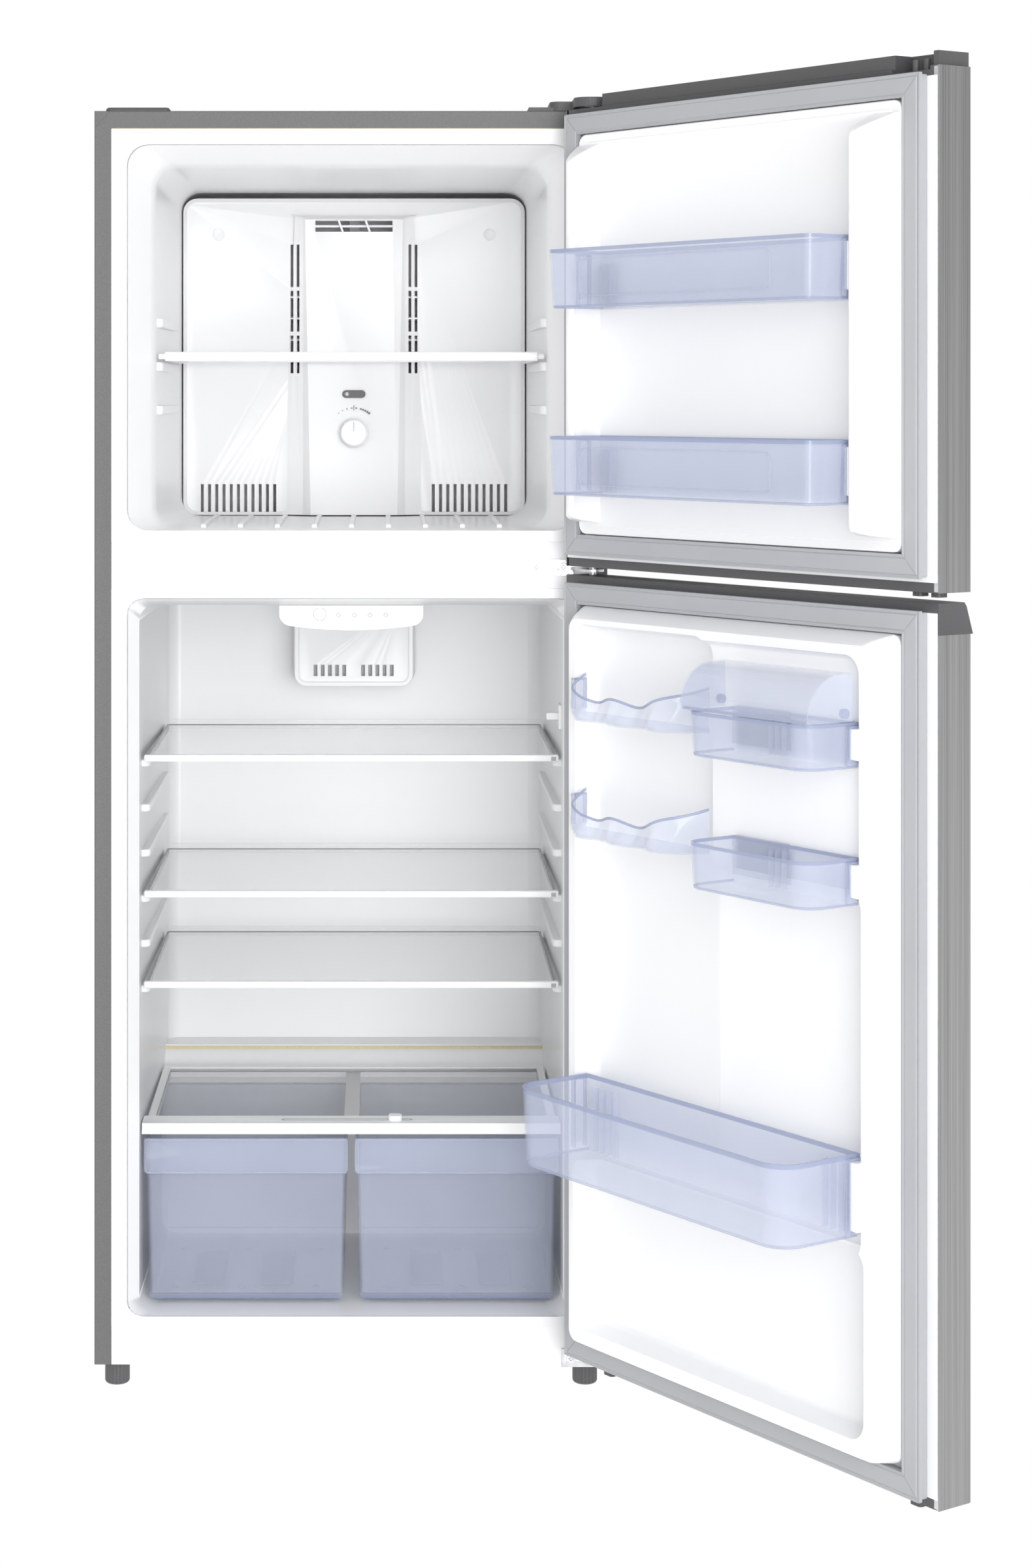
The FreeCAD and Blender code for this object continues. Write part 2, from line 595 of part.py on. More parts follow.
def crisper_drawer(side):
    """A tapered clear drawer with a stepped front and a rim."""
    wall = fridge_wall(DRAWER_FRONT) - 3.5
    x0, x1 = DRAWER_GAP / 2, wall
    low, high = DRAWER_BOTTOM + 1, DRAWER_TOP
    taper = 4.0
    back = STEP_FRONT - 12

    def block(shrink, base):
        wires = []
        for y, drop in ((DRAWER_FRONT + shrink, 0), (back - shrink, 2)):
            wires.append(rounded_wire(x0 + taper + shrink, x1 - taper - drop - shrink, base, high + 2, 14, y))
        return Part.makeLoft(wires, True, True)

    shelf_cut = box(x0 - 1, x1 + 1, DRAWER_FRONT - 9, back + 1, high, high + 20)
    body = block(0, low).cut(block(DRAWER_WALL, low + DRAWER_WALL)).cut(shelf_cut)
    face = rounded_prism(x0, x1, DRAWER_FRONT - 4, DRAWER_FRONT + DRAWER_WALL, high - 44, high, 5)
    rim = box(x0, x1 - 2, DRAWER_FRONT - 4, back, high - 3, high)
    rim = rim.cut(box(x0 + 7, x1 - 9, DRAWER_FRONT - 1, back - 6, high - 5, high + 1))
    pads = []
    for share in (0.38, 0.7):
        x = x0 + (x1 - x0) * share
        floor = low + DRAWER_WALL
        pads.append(rounded_prism(x - 20, x + 20, 110, back - 83, floor - 0.5, floor + 2, 1))
    drawer = joined([body, face, rim] + pads)
    return drawer if side > 0 else mirrored(drawer)


SWITCH_Y = 60.0
SWITCH_Z = FRIDGE_CEILING - 144.0


def door_switch_housing():
    wall = fridge_wall(SWITCH_Y)
    plate = box(wall - 3, wall + 0.8, SWITCH_Y - 16, SWITCH_Y + 20, SWITCH_Z - 14, SWITCH_Z + 14)
    slot = box(wall - 4, wall + 2, SWITCH_Y - 6, SWITCH_Y + 10, SWITCH_Z - 5, SWITCH_Z + 5)
    return plate.cut(fridge_walls_outside(plate)).cut(slot)


def fridge_walls_outside(shape):
    """What of a shape lies in the liner's wall."""
    return shape.cut(fridge_space(0, -0.01))


def door_switch_plunger():
    wall = fridge_wall(SWITCH_Y)
    arm = box(wall - 17, wall - 0.8, SWITCH_Y - 4, SWITCH_Y + 4, SWITCH_Z - 4, SWITCH_Z + 4)
    return arm.makeFillet(1.5, [e for e in arm.Edges if e.CenterOfMass.x < wall - 16.9])


# ---------------------------------------------------------------- hinges, caps, base, feet

SCREW_R = 2.6
SCREW_HEAD = 5.2
FOOT_X = HALF - 25.0
FOOT_Y = 25.0
FOOT_R = 14.5
STUD_R = 4.0
STUD_LENGTH = 34.0
BASE_SHEET = 3.0


ARM_EYE = 13.0
TOP_SPREAD = 18.0
ARM_SPREAD = 24.0


def hinge_holes():
    z = (MULLION_BOTTOM + MULLION_TOP) / 2 - 2
    return [(PIVOT_X - 63, z), (PIVOT_X - 32, z)]


def mullion_plug_places():
    z = (MULLION_BOTTOM + MULLION_TOP) / 2 - 1
    return [(63 - PIVOT_X, z), (32 - PIVOT_X, z)]


def bottom_hinge_holes():
    return [(PIVOT_X - 23, BOTTOM + 9)]


def top_hinge_holes():
    return [(HALF - 52, 18.0), (HALF - 52, 44.0), (HALF - 18, 44.0)]


def hinge_arm(z, plate, spread):
    """A flat arm from the cabinet's face forward to a round eye over the pivot."""
    eye = cylinder(PIVOT_X, PIVOT_Y, z, ARM_EYE, plate)
    left, right = PIVOT_X - ARM_EYE, PIVOT_X + ARM_EYE
    run = plan_prism([(PIVOT_X - spread, 0), (left, PIVOT_Y), (right, PIVOT_Y), (right, 0)], z, z + plate)
    return joined([eye, run])


def top_hinge():
    z = TOP
    plate = box(HALF - 60, HALF - 8, 6, 54, z, z + HINGE_PLATE)
    arm = hinge_arm(z, HINGE_PLATE, TOP_SPREAD)
    link = box(PIVOT_X - TOP_SPREAD, PIVOT_X + ARM_EYE, -1, 8, z, z + HINGE_PLATE)
    pin = cylinder(PIVOT_X, PIVOT_Y, z - PIN_LENGTH, PIN_R, PIN_LENGTH)
    hinge = joined([plate, arm, link, pin])
    for x, y in top_hinge_holes():
        hinge = hinge.cut(cylinder(x, y, z - 1, SCREW_R, HINGE_PLATE + 2))
    return hinge


def top_hinge_cover():
    """A hollow cover over the top hinge, with a rounded nose over the pin and a low flap."""
    low, high = TOP, TOP + 11

    def form(shrink, z0, z1):
        main = upright_prism(HALF - 67 + shrink, HALF - shrink, shrink, 62 - shrink, z0, z1, 12)
        nose = upright_prism(
            PIVOT_X - 22 + shrink, HALF - shrink, PIVOT_Y - 20 + shrink, 40, z0, z1, 18 - shrink)
        return joined([main, nose])

    flap = box(HALF - 92, HALF - 60, 3, 59, low, low + 4.5)
    solid = joined([form(0, low, high), flap])
    hollow = joined([form(2, low - 1, high - 2), box(HALF - 90, HALF - 50, 5, 57, low - 1, low + 3)])
    return solid.cut(hollow)


def top_blank_cap():
    """The plain cap over the unused hinge holes on the other side."""
    high = TOP + 4.5
    cap = upright_prism(-HALF + 13, -HALF + 88, 4, 58, TOP, high, 6)
    cap = cap.makeChamfer(2.0, [e for e in cap.Edges if abs(e.CenterOfMass.z - high) < 0.01])
    return cap.cut(box(-HALF + 17, -HALF + 84, 8, 54, TOP - 1, high - 2))


def middle_hinge():
    x0, x1 = PIVOT_X - 72, PIVOT_X - 20
    z = hinge_holes()[0][1]
    gap_mid = (FREEZER_DOOR[0] + FRIDGE_DOOR[1]) / 2
    plate = box(x0, x1, -HINGE_PLATE, 0, z - 10, z + 9)
    arm = hinge_arm(gap_mid - HINGE_PLATE / 2, HINGE_PLATE, ARM_SPREAD)
    pin = cylinder(PIVOT_X, PIVOT_Y, gap_mid - PIN_LENGTH, PIN_R, 2 * PIN_LENGTH)
    root = box(x0 + 6, PIVOT_X + ARM_EYE, -HINGE_PLATE, 0,
               gap_mid - HINGE_PLATE / 2, gap_mid + HINGE_PLATE / 2 + 4)
    hinge = joined([plate, arm, root, pin])
    for x, zz in hinge_holes():
        hinge = hinge.cut(cylinder(x, -HINGE_PLATE - 1, zz, SCREW_R, HINGE_PLATE + 2, (0, 1, 0)))
    return hinge


def bottom_hinge():
    z = FRIDGE_DOOR[0] - 3 - HINGE_PLATE
    plate = box(PIVOT_X - 34, PIVOT_X + ARM_EYE, -HINGE_PLATE, 0, BOTTOM - 2, z + HINGE_PLATE)
    arm = hinge_arm(z, HINGE_PLATE, ARM_SPREAD)
    pin = cylinder(PIVOT_X, PIVOT_Y, z - 4, PIN_R, PIN_LENGTH + 6)
    hinge = joined([plate, arm, pin])
    for x, zz in bottom_hinge_holes():
        hinge = hinge.cut(cylinder(x, -HINGE_PLATE - 1, zz, SCREW_R, HINGE_PLATE + 2, (0, 1, 0)))
    return hinge


def screw(x, y, z, axis, length):
    """A pan head screw whose head stands out along the axis."""
    ax, ay, az = axis
    shank = cylinder(x - ax * length, y - ay * length, z - az * length, SCREW_R - 0.2, length + 0.5, axis)
    head = cylinder(x, y, z, SCREW_HEAD, 2.4, axis)
    cuts = []
    for w, h in ((1.2, 6.0), (6.0, 1.2)):
        if az:
            cuts.append(box(x - w / 2, x + w / 2, y - h / 2, y + h / 2, z + 1.2, z + 3))
        else:
            cuts.append(box(x - w / 2, x + w / 2, y - 3, y - 1.2, z - h / 2, z + h / 2))
    return joined([shank, head]).cut(Part.makeCompound(cuts))


def hinge_screws():
    screws = [screw(x, -HINGE_PLATE, z, (0, -1, 0), HINGE_PLATE + LINER) for x, z in
              hinge_holes() + bottom_hinge_holes()]
    screws += [screw(x, y, TOP + HINGE_PLATE, (0, 0, 1), HINGE_PLATE) for x, y in top_hinge_holes()]
    return Part.makeCompound(screws)


def hole_plugs():
    plugs = []
    for x, z in mullion_plug_places() + [(-MOUTH, BOTTOM + 9)]:
        head = cylinder(x, 0, z, 6.2, 1.6, (0, -1, 0))
        stem = cylinder(x, -0.5, z, SCREW_R - 0.1, LINER + 0.5, (0, 1, 0))
        plugs.append(joined([head, stem]))
    for x in (-PANEL_PLUG_X, PANEL_PLUG_X):
        head = cylinder(x, PANEL_FACE, PANEL_PLUG_Z, 8, 1.6, (0, -1, 0))
        stem = cylinder(x, PANEL_FACE - 0.5, PANEL_PLUG_Z, 4.9, 4, (0, 1, 0))
        plugs.append(joined([head, stem]))
    return Part.makeCompound(plugs)


def base_tray():
    plate = box(-HALF + SHEET, HALF - SHEET, LINER, DEPTH - 6, BOTTOM, BOTTOM + BASE_SHEET)
    for x in (-FOOT_X, FOOT_X):
        plate = plate.cut(cylinder(x, FOOT_Y, BOTTOM - 1, STUD_R + PIN_FIT, BASE_SHEET + 2))
    rear = []
    for x in (-FOOT_X + 10, FOOT_X - 10):
        rear.append(upright_prism(x - 14, x + 14, DEPTH - 52, DEPTH - 16, 0, BOTTOM, 6))
    return joined([plate] + rear)


def levelling_foot(x):
    """A ribbed foot on a threaded stud."""
    body = cylinder(x, FOOT_Y, 0, FOOT_R, FOOT_HEIGHT - 0.4)
    body = body.makeFillet(4.0, [e for e in body.Edges if abs(e.CenterOfMass.z) < 0.01 and e.Closed])
    grooves = []
    for i in range(20):
        angle = math.radians(18 * i)
        gx = x + (FOOT_R + 0.4) * math.cos(angle)
        gy = FOOT_Y + (FOOT_R + 0.4) * math.sin(angle)
        grooves.append(cylinder(gx, gy, 3, 1.1, FOOT_HEIGHT))
    body = body.cut(Part.makeCompound(grooves))
    stud = cylinder(x, FOOT_Y, FOOT_HEIGHT - 2, STUD_R, STUD_LENGTH)
    return joined([body, stud])


COMPRESSOR_X = HALF - 150.0
CONDENSER_X = (-HALF + 70.0, COMPRESSOR_X - 110.0)


def compressor():
    cx, cy = COMPRESSOR_X, DEPTH - 80
    base = BOTTOM + BASE_SHEET
    can = cylinder(cx, cy, base + 22, 62, 120)
    lid = cylinder(cx, cy, base + 142, 62, 20)
    lid = lid.makeFillet(18, [e for e in lid.Edges if e.CenterOfMass.z > base + 161])
    can = can.makeFillet(16, [e for e in can.Edges if e.CenterOfMass.z < base + 23 and e.Closed])
    plate = box(cx - 76, cx + 76, cy - 50, cy + 50, base + 16, base + 22.5)
    feet = [cylinder(cx + sx * 66, cy + sy * 38, base, 9, 16) for sx in (-1, 1) for sy in (-1, 1)]
    ports = [cylinder(cx - 60, cy + dy, base + 90, 4, 30, (-1, 0, 0)) for dy in (-16, 16)]
    terminal = box(cx + 55, cx + 82, cy - 22, cy + 22, base + 60, base + 112)
    return joined([can, lid, plate, terminal] + feet + ports)


def serpentine(rows, y0, y1, z, radius):
    """A tube that runs to and fro along Y and turns in half circles."""
    half = (rows[1] - rows[0]) / 2
    ends = (y0 + half, y1 - half)
    path = []
    for i, x in enumerate(rows):
        start, end = ends[i % 2], ends[(i + 1) % 2]
        path.append(Part.makeLine(Vector(x, start, z), Vector(x, end, z)))
        if i + 1 < len(rows):
            bulge = math.copysign(half, end - start)
            bend = Part.Arc(
                Vector(x, end, z), Vector(x + half, end + bulge, z), Vector(x + 2 * half, end, z))
            path.append(bend.toShape())
    circle = Part.Wire([Part.makeCircle(radius, Vector(rows[0], ends[0], z), Vector(0, 1, 0))])
    return Part.Wire(path).makePipeShell([circle], True, False)


def condenser_coil():
    """A serpentine tube through flat fins, on two posts beside the compressor."""
    z = BOTTOM + BASE_SHEET + 70
    y0, y1 = DEPTH - 130, DEPTH - 30
    rows = along(*CONDENSER_X, 8)
    parts = [serpentine(rows, y0, y1, z, 3.0)]
    for y in along(y0 + 24, y1 - 24, 6):
        parts.append(box(rows[0] - 6, rows[-1] + 6, y - 0.4, y + 0.4, z - 9, z + 9))
    for x in (rows[0], rows[-1]):
        middle = (y0 + y1) / 2
        parts.append(box(x - 4, x + 4, middle - 5, middle + 5, BOTTOM + BASE_SHEET, z - 1))
    return joined(parts)


def drain_pan():
    """A shallow open tray between the condenser's posts."""
    z0 = BOTTOM + BASE_SHEET
    x0, x1 = CONDENSER_X[0] + 15, CONDENSER_X[1] - 15
    y0, y1 = DEPTH - 136, DEPTH - 24
    outer = upright_prism(x0, x1, y0, y1, z0, z0 + 40, 12)
    return outer.cut(upright_prism(x0 + 2, x1 - 2, y0 + 2, y1 - 2, z0 + 2, z0 + 41, 10))


def power_inlet():
    """The gland in the machine space's rear edge where a power cord enters."""
    x, z = -HALF + 23, BOTTOM + 75
    flange = box(x - 15, x + 15, DEPTH - 8, DEPTH - 4, z - 15, z + 15)
    neck = cylinder(x, DEPTH - 14, z, 9, 10, (0, 1, 0))
    bracket = box(-HALF + SHEET, x - 12, DEPTH - 30, DEPTH - 4, z - 15, z + 15)
    gland = joined([flange, neck, bracket])
    return gland.cut(cylinder(x, DEPTH - 30, z, 5, 40, (0, 1, 0)))


# ---------------------------------------------------------------- doors

FREEZER_PILLAR = (MOUTH - 40.0, 38.0)
PILLAR_DROP = 6.0
FRIDGE_PILLAR = (MOUTH - 30.0, 26.0)
RIGHT_FLOOR = 14.0
LEFT_FLOOR = -4.0
PANEL_X = 4.0
PANEL_BOTTOM = FRIDGE_CEILING - 269.0
LOWER_TOP = BOTTOM + 268.0
LINER_DOOR = 1.5
LINER_BASE = DOOR_REAR - LINER_DOOR
FORM_EDGE = GASKET_OUT - GASKET_WIDTH - 1.0


def door_skin(z0, z1, front_top):
    outer = upright_prism(-HALF, HALF, DOOR_FRONT, DOOR_REAR + 20, z0, z1, DOOR_EDGE)
    inner = upright_prism(-HALF + SKIN, HALF - SKIN, DOOR_FRONT + SKIN, DOOR_REAR + 30, z0 - 1, z1 + 1,
                          DOOR_EDGE - SKIN)
    skin = outer.cut(inner).cut(box(-HALF - 1, HALF + 1, DOOR_REAR, DOOR_REAR + 40, z0 - 1, z1 + 1))
    if front_top > z1:
        lift = box(-HALF + DOOR_EDGE, PIVOT_X - 30, DOOR_FRONT, DOOR_FRONT + SKIN, z1 - 1, front_top)
        skin = joined([skin, lift])
    return skin


def pillar(inner, crest, z0, z1, side, shrink):
    """A round-topped upright ridge along one side of the door's liner, inside the sloping mouth."""
    wires = []
    for y, lean, drop, inset, r in (
        (LINER_BASE, -3, 0, 0, 22), (0.0, -2, 0, 2, 22), (crest - 14, 0, 0, 5, 20),
        (crest - 4, 1.5, 1.5, 8, 16), (crest, 4, 4, 14, 10),
    ):
        half, low, high = freezer_mouth(y)
        outer = half - DOOR_CLEAR - drop - shrink
        lo, hi = (inner + lean + shrink, outer) if side > 0 else (-outer, -inner - lean - shrink)
        top = min(z1 - inset, high - DOOR_CLEAR - PILLAR_DROP - drop) - shrink
        depth = y - (shrink if y > 0 else 0)
        wires.append(rounded_wire(lo, hi, z0 + inset + shrink, top, r, depth))
    return Part.makeLoft(wires, True, True)


def freezer_door_form(shrink):
    """The liner's raised shape; shrink gives the foam's shape under it."""
    z0, z1 = FREEZER_GASKET[0] + GASKET_WIDTH + 1, FREEZER_GASKET[1] - GASKET_WIDTH - 1
    edge = FORM_EDGE - shrink
    plate = rounded_prism(-edge, edge, LINER_BASE, -2 - shrink, z0 + shrink, z1 - shrink, 12)
    inner, crest = FREEZER_PILLAR
    parts = [plate]
    for side in (-1, 1):
        parts.append(pillar(inner, crest, z0 + 12, z1 - 10, side, shrink))
    return joined(parts)


def fridge_door_form(shrink):
    """The liner's raised block with its recesses; shrink gives the foam's shape under it."""
    z0, z1 = FRIDGE_GASKET[0] + GASKET_WIDTH + 1, FRIDGE_GASKET[1] - GASKET_WIDTH - 1
    inner, crest = FRIDGE_PILLAR
    wires = []
    for y, drop, r in ((LINER_BASE, 0, 10), (-2, 0, 12), (crest - 8, 0, 18), (crest, 4, 20)):
        half, low, high = fridge_mouth(y)
        cut = DOOR_CLEAR + drop + shrink
        depth = y - (shrink if y == crest else 0)
        bottom, top = max(z0 + shrink, low + cut), min(z1 - shrink, high - cut)
        wires.append(rounded_wire(-half + cut, half - cut, bottom, top, r, depth))
    block = Part.makeLoft(wires, True, True)
    deep = crest + 20

    def pocket(x0, x1, low, high, floor, slope):
        floor = floor - shrink
        small = rounded_wire(x0 - shrink, x1 + shrink, low - shrink, high + shrink, 20, floor)
        rise = slope * (deep - floor) / (crest - floor)
        wide = rounded_wire(x0 - shrink - rise, x1 + shrink + rise, low - shrink - rise, high + shrink + rise,
                            20 + rise, deep)
        return Part.makeLoft([small, wide], True, True)

    block = block.cut(pocket(-inner + 6, inner - 6, LOWER_TOP - 2, PANEL_BOTTOM, LEFT_FLOOR, 6))
    block = block.cut(pocket(PANEL_X + 8, inner - 6, PANEL_BOTTOM - 40, z1 - 24, LEFT_FLOOR, 6))
    block = block.cut(pocket(-inner + 5, PANEL_X + 30, PANEL_BOTTOM - 60, z1 - 25, RIGHT_FLOOR, 5))
    block = block.cut(pocket(1 - inner, inner - 1, z0 + 30, LOWER_TOP, LEFT_FLOOR, 5))
    return block


def lug(side, reach, root, y0, z0, z1):
    """An upright block on a pillar's inner face that a bin's end bracket hooks over."""
    return box(side * reach, side * root, y0, y0 + LUG_DEPTH, z0, z1)


LUG_DEPTH = 12.0
LUG_Y = 20.0
BRACKET = 2.0
BRACKET_REACH = 5.0


def door_liner(form, z0, z1, lugs):
    inside = form(LINER_DOOR)
    flange = box(-HALF + SKIN + 1, HALF - SKIN - 1, LINER_BASE, DOOR_REAR, z0, z1)
    sheet = joined([flange, form(0)]).cut(inside)
    return joined([sheet] + [piece.cut(inside) for piece in lugs])


def door_foam(form, z0, z1):
    core = box(-HALF + SKIN + 0.5, HALF - SKIN - 0.5, DOOR_FRONT + SKIN, LINER_BASE, z0, z1)
    core = core.makeFillet(DOOR_EDGE - SKIN, [e for e in core.Edges if
                           abs(e.CenterOfMass.y - DOOR_FRONT - SKIN) < 0.01 and abs(e.CenterOfMass.x) > 100])
    return joined([core, form(LINER_DOOR)])


def fridge_door_foam():
    """The foam round the grip's cap, without the film left between the cap and the skin."""
    foam = door_foam(fridge_door_form, *FRIDGE_Z).cut(fridge_door_top_cap())
    return max(foam.Solids, key=lambda piece: piece.Volume)


def gasket(z0, z1):
    """A ribbed magnetic seal: a foot in the liner's edge, bellows and a flat face."""
    out, width = GASKET_OUT, GASKET_WIDTH

    def ring(inset, wide, y0, y1):
        outer = box(-out + inset, out - inset, y0, y1, z0 + inset, z1 - inset)
        cut = inset + wide
        return outer.cut(box(-out + cut, out - cut, y0 - 1, y1 + 1, z0 + cut, z1 - cut))

    face = -GASKET_GAP
    return joined([
        ring(2, width - 6, DOOR_REAR, DOOR_REAR + 4),
        ring(5, width - 12, DOOR_REAR + 3, face - 6),
        ring(1, width - 3, DOOR_REAR + 6, face - 6),
        ring(4, width - 10, face - 7, face - 4),
        ring(0, width, face - 5, face),
    ])


def pin_socket(z, height):
    return cylinder(PIVOT_X, PIVOT_Y, z, PIN_R + PIN_FIT, height)


def cap_block(z0, z1):
    side = HALF - SKIN - CAP_CLEAR
    return upright_prism(-side, side, DOOR_FRONT + SKIN + CAP_CLEAR, DOOR_REAR - CAP_CLEAR, z0, z1,
                         DOOR_EDGE - SKIN)


def freezer_door_top_cap():
    low, high = FREEZER_DOOR[1] - CAP, FREEZER_DOOR[1]
    cap = cap_block(low, high)
    raised = box(-HALF + 5, PIVOT_X - 40, DOOR_FRONT + SKIN + 0.2, DOOR_REAR - 5, high - 1, FREEZER_CAP_TOP)
    notch = box(-HALF + 12, -HALF + 66, DOOR_FRONT + 20, DOOR_REAR + 1, high - 4, FREEZER_CAP_TOP + 1)
    cap = joined([cap, raised]).cut(notch)
    bosses = [cylinder(-HALF + x, DOOR_FRONT + 34, high - 5, 3.5, 14) for x in (30, 46)]
    socket = pin_socket(low - 1, CAP + 2)
    return joined([cap] + bosses).cut(socket)


def freezer_door_bottom_cap():
    low, high = FREEZER_DOOR[0], FREEZER_DOOR[0] + CAP
    bumpers = [upright_prism(-HALF + x, -HALF + x + 13, DOOR_REAR - 22, DOOR_REAR - 8, low - 5, low + 1, 4)
               for x in (8, 34)]
    cap = joined([cap_block(low, high)] + bumpers)
    return cap.cut(pin_socket(low - 1, CAP + 2))


def fridge_door_top_cap():
    """The cap along the top, with the sloping finger grip along its front."""
    high = FRIDGE_DOOR[1]
    low = high - GRIP_DROP
    rear = DOOR_REAR - 0.2
    tip = [(DOOR_FRONT + GRIP_DEPTH + 3, high), (DOOR_FRONT + GRIP_DEPTH, high - 4), (DOOR_FRONT, low)]
    roof = [(rear, high - CAP), (rear, high)] + tip + [(DOOR_FRONT + 12, low), (DOOR_FRONT + 20, high - CAP)]
    cap = profile_prism(roof, -HALF, HALF)
    lip = box(-HALF + 8, HALF - 8, DOOR_FRONT + SKIN + 0.2, DOOR_FRONT + 6, low - 4, low + 1)
    ends = []
    for side in (-1, 1):
        x0, x1 = sorted((side * (HALF - 1.8), side * HALF))
        ends.append(profile_prism([(rear, low), (rear, high)] + tip, x0, x1))
    return joined([cap, lip] + ends).cut(pin_socket(high - CAP - 1, CAP + 2))


def fridge_door_bottom_cap():
    low, high = FRIDGE_DOOR[0], FRIDGE_DOOR[0] + CAP
    bumpers = [upright_prism(-HALF + 30, -HALF + 46, DOOR_REAR - 16, DOOR_REAR - 4, low - 6, low + 1, 4),
               upright_prism(PIVOT_X - 58, PIVOT_X - 42, DOOR_REAR - 16, DOOR_REAR - 4, low - 6, low + 1, 4)]
    cap = joined([cap_block(low, high)] + bumpers)
    return cap.cut(pin_socket(low - 1, CAP + 2))


# ---------------------------------------------------------------- door bins

FREEZER_BIN = (FREEZER_PILLAR[0] - 8.0, 80.0, 66.0)
FREEZER_BIN_Z = (FREEZER_FLOOR + 255.0, FREEZER_FLOOR + 47.0)
BIN_HALF = FRIDGE_PILLAR[0] - 11.0
DAIRY_Z = FRIDGE_CEILING - 140.0
MIDDLE_Z = FRIDGE_CEILING - 279.0
BOTTLE_Z = COVER_TOP + 7.5
DAIRY = (-BIN_HALF, -28.0, 90.0, DAIRY_Z, DAIRY_Z + 47.0)
MIDDLE = (-BIN_HALF, -28.0, 90.0, MIDDLE_Z, MIDDLE_Z + 49.0)
BOTTOM_BIN = (BIN_HALF, 124.0, BOTTLE_Z, BOTTLE_Z + 86.0)
RACK = (8.0, BIN_HALF, 74.0, 59.0)
RACK_Z = (FRIDGE_CEILING - 126.0, FRIDGE_CEILING - 256.0)
BIN_BACK = 17.0
FREEZER_BIN_BACK = 2.0
DAIRY_TOP = HOUSING[3] - 3.0
HOOD_BACK = FRIDGE_PILLAR[1] + 2.0
HOOD_PIN = (HOOD_BACK + 6.0, DAIRY_TOP - 6.0, 3.0)


def bin_tub(x0, x1, y0, y1, z0, z1, radius):
    """An open-topped clear tub whose two front corners are round, with a rim."""
    def form(shrink, base, top):
        block = upright_prism(x0 + shrink, x1 - shrink, y0 - 60, y1 - shrink, base, top, radius)
        return block.cut(box(x0 - 1, x1 + 1, y0 - 100, y0 + shrink, base - 1, top + 1))
    tub_shape = form(0, z0, z1).cut(form(BIN_WALL, z0 + BIN_WALL, z1 + 1))
    rim = form(-1.0, z1 - 3, z1).cut(form(BIN_WALL + 0.01, z1 - 4, z1 + 1))
    rim = rim.cut(box(x0 - 5, x1 + 5, y0 - 5, y0, z0, z1 + 1))
    return joined([tub_shape, rim])


def end_bracket(side, wall, z0, z1, y=LUG_Y):
    """Two upright fins and a cap that hook over a lug on the door's liner."""
    x0, x1 = side * (wall - 1), side * (wall + BRACKET_REACH)
    y0, y1 = y - SLIDE_CLEAR - BRACKET, y + LUG_DEPTH + SLIDE_CLEAR + BRACKET
    fins = [box(x0, x1, y0, y0 + BRACKET, z0, z1), box(x0, x1, y1 - BRACKET, y1, z0, z1)]
    cap = box(x0, x1, y0, y1, z1 - BRACKET, z1)
    return joined(fins + [cap])


def bin_lugs(wall, root, z0, z1, sides=(-1, 1)):
    """The lugs that fit inside a bin's end brackets."""
    top = z1 - BRACKET - CLEAR
    return [lug(side, wall + 1.0, root, LUG_Y, z0 + 6, top) for side in sides]


def freezer_bin(z0):
    half, front, height = FREEZER_BIN
    tub_shape = bin_tub(-half, half, FREEZER_BIN_BACK, front, z0, z0 + height, 10)
    brackets = [end_bracket(s, half, z0 + 4, z0 + height - 4) for s in (-1, 1)]
    return joined([tub_shape] + brackets)


def wide_bin(x0, x1, front, z0, z1, radius):
    """A bin on the wide column: one end hooks on the pillar, the other on a back plate."""
    tub_shape = bin_tub(x0, x1, BIN_BACK, front, z0, z1, radius)
    bracket = end_bracket(-1, -x0, z0 + 4, z1 - 3, LUG_Y + 1)
    return joined([tub_shape, bracket])


def column_bin(values):
    x0, x1, front, z0, z1 = values
    plate = box(x1 - 92, x1, BIN_BACK, BIN_BACK + BIN_WALL, z0, z1 + 1)
    return joined([wide_bin(x0, x1, front, z0, z1, 26), plate])


def dairy_cover():
    """The clear hood over the dairy bin, a quarter-round shell hinged at its ends."""
    x0, x1, front, z0, z1 = DAIRY
    low = z1 + 1.5
    height = DAIRY_TOP - low

    def hood(shrink):
        depth = front - HOOD_BACK - shrink
        tall = height - shrink
        start = Vector(x0 + shrink, HOOD_BACK + depth, low)
        mid = Vector(x0 + shrink, HOOD_BACK + depth * math.cos(0.9), low + tall * math.sin(0.9))
        end = Vector(x0 + shrink, HOOD_BACK + 12, low + tall)
        arc = Part.Arc(start, mid, end).toShape()
        corner = Vector(x0 + shrink, HOOD_BACK, low + tall)
        base = Vector(x0 + shrink, HOOD_BACK, low)
        wire = Part.Wire([arc, Part.makeLine(end, corner), Part.makeLine(corner, base),
                          Part.makeLine(base, start)])
        return Part.Face(wire).extrude(Vector(x1 - x0 - 2 * shrink, 0, 0))

    inner = hood(BIN_WALL)
    inner.translate(Vector(0, -4, -0.5))
    cut = box(x0 + BIN_WALL, x1 - BIN_WALL, HOOD_BACK - 5, front - BIN_WALL, low - 1, low + 3)
    shell = hood(0).cut(inner).cut(cut.common(box(x0, x1, HOOD_BACK - 5, front - 4, low - 2, low + 3)))
    y, z, radius = HOOD_PIN
    pins = [cylinder(x0 - 1.5, y, z, radius, 4, (1, 0, 0)), cylinder(x1 - 2.5, y, z, radius, 4, (1, 0, 0))]
    return joined([shell] + pins)


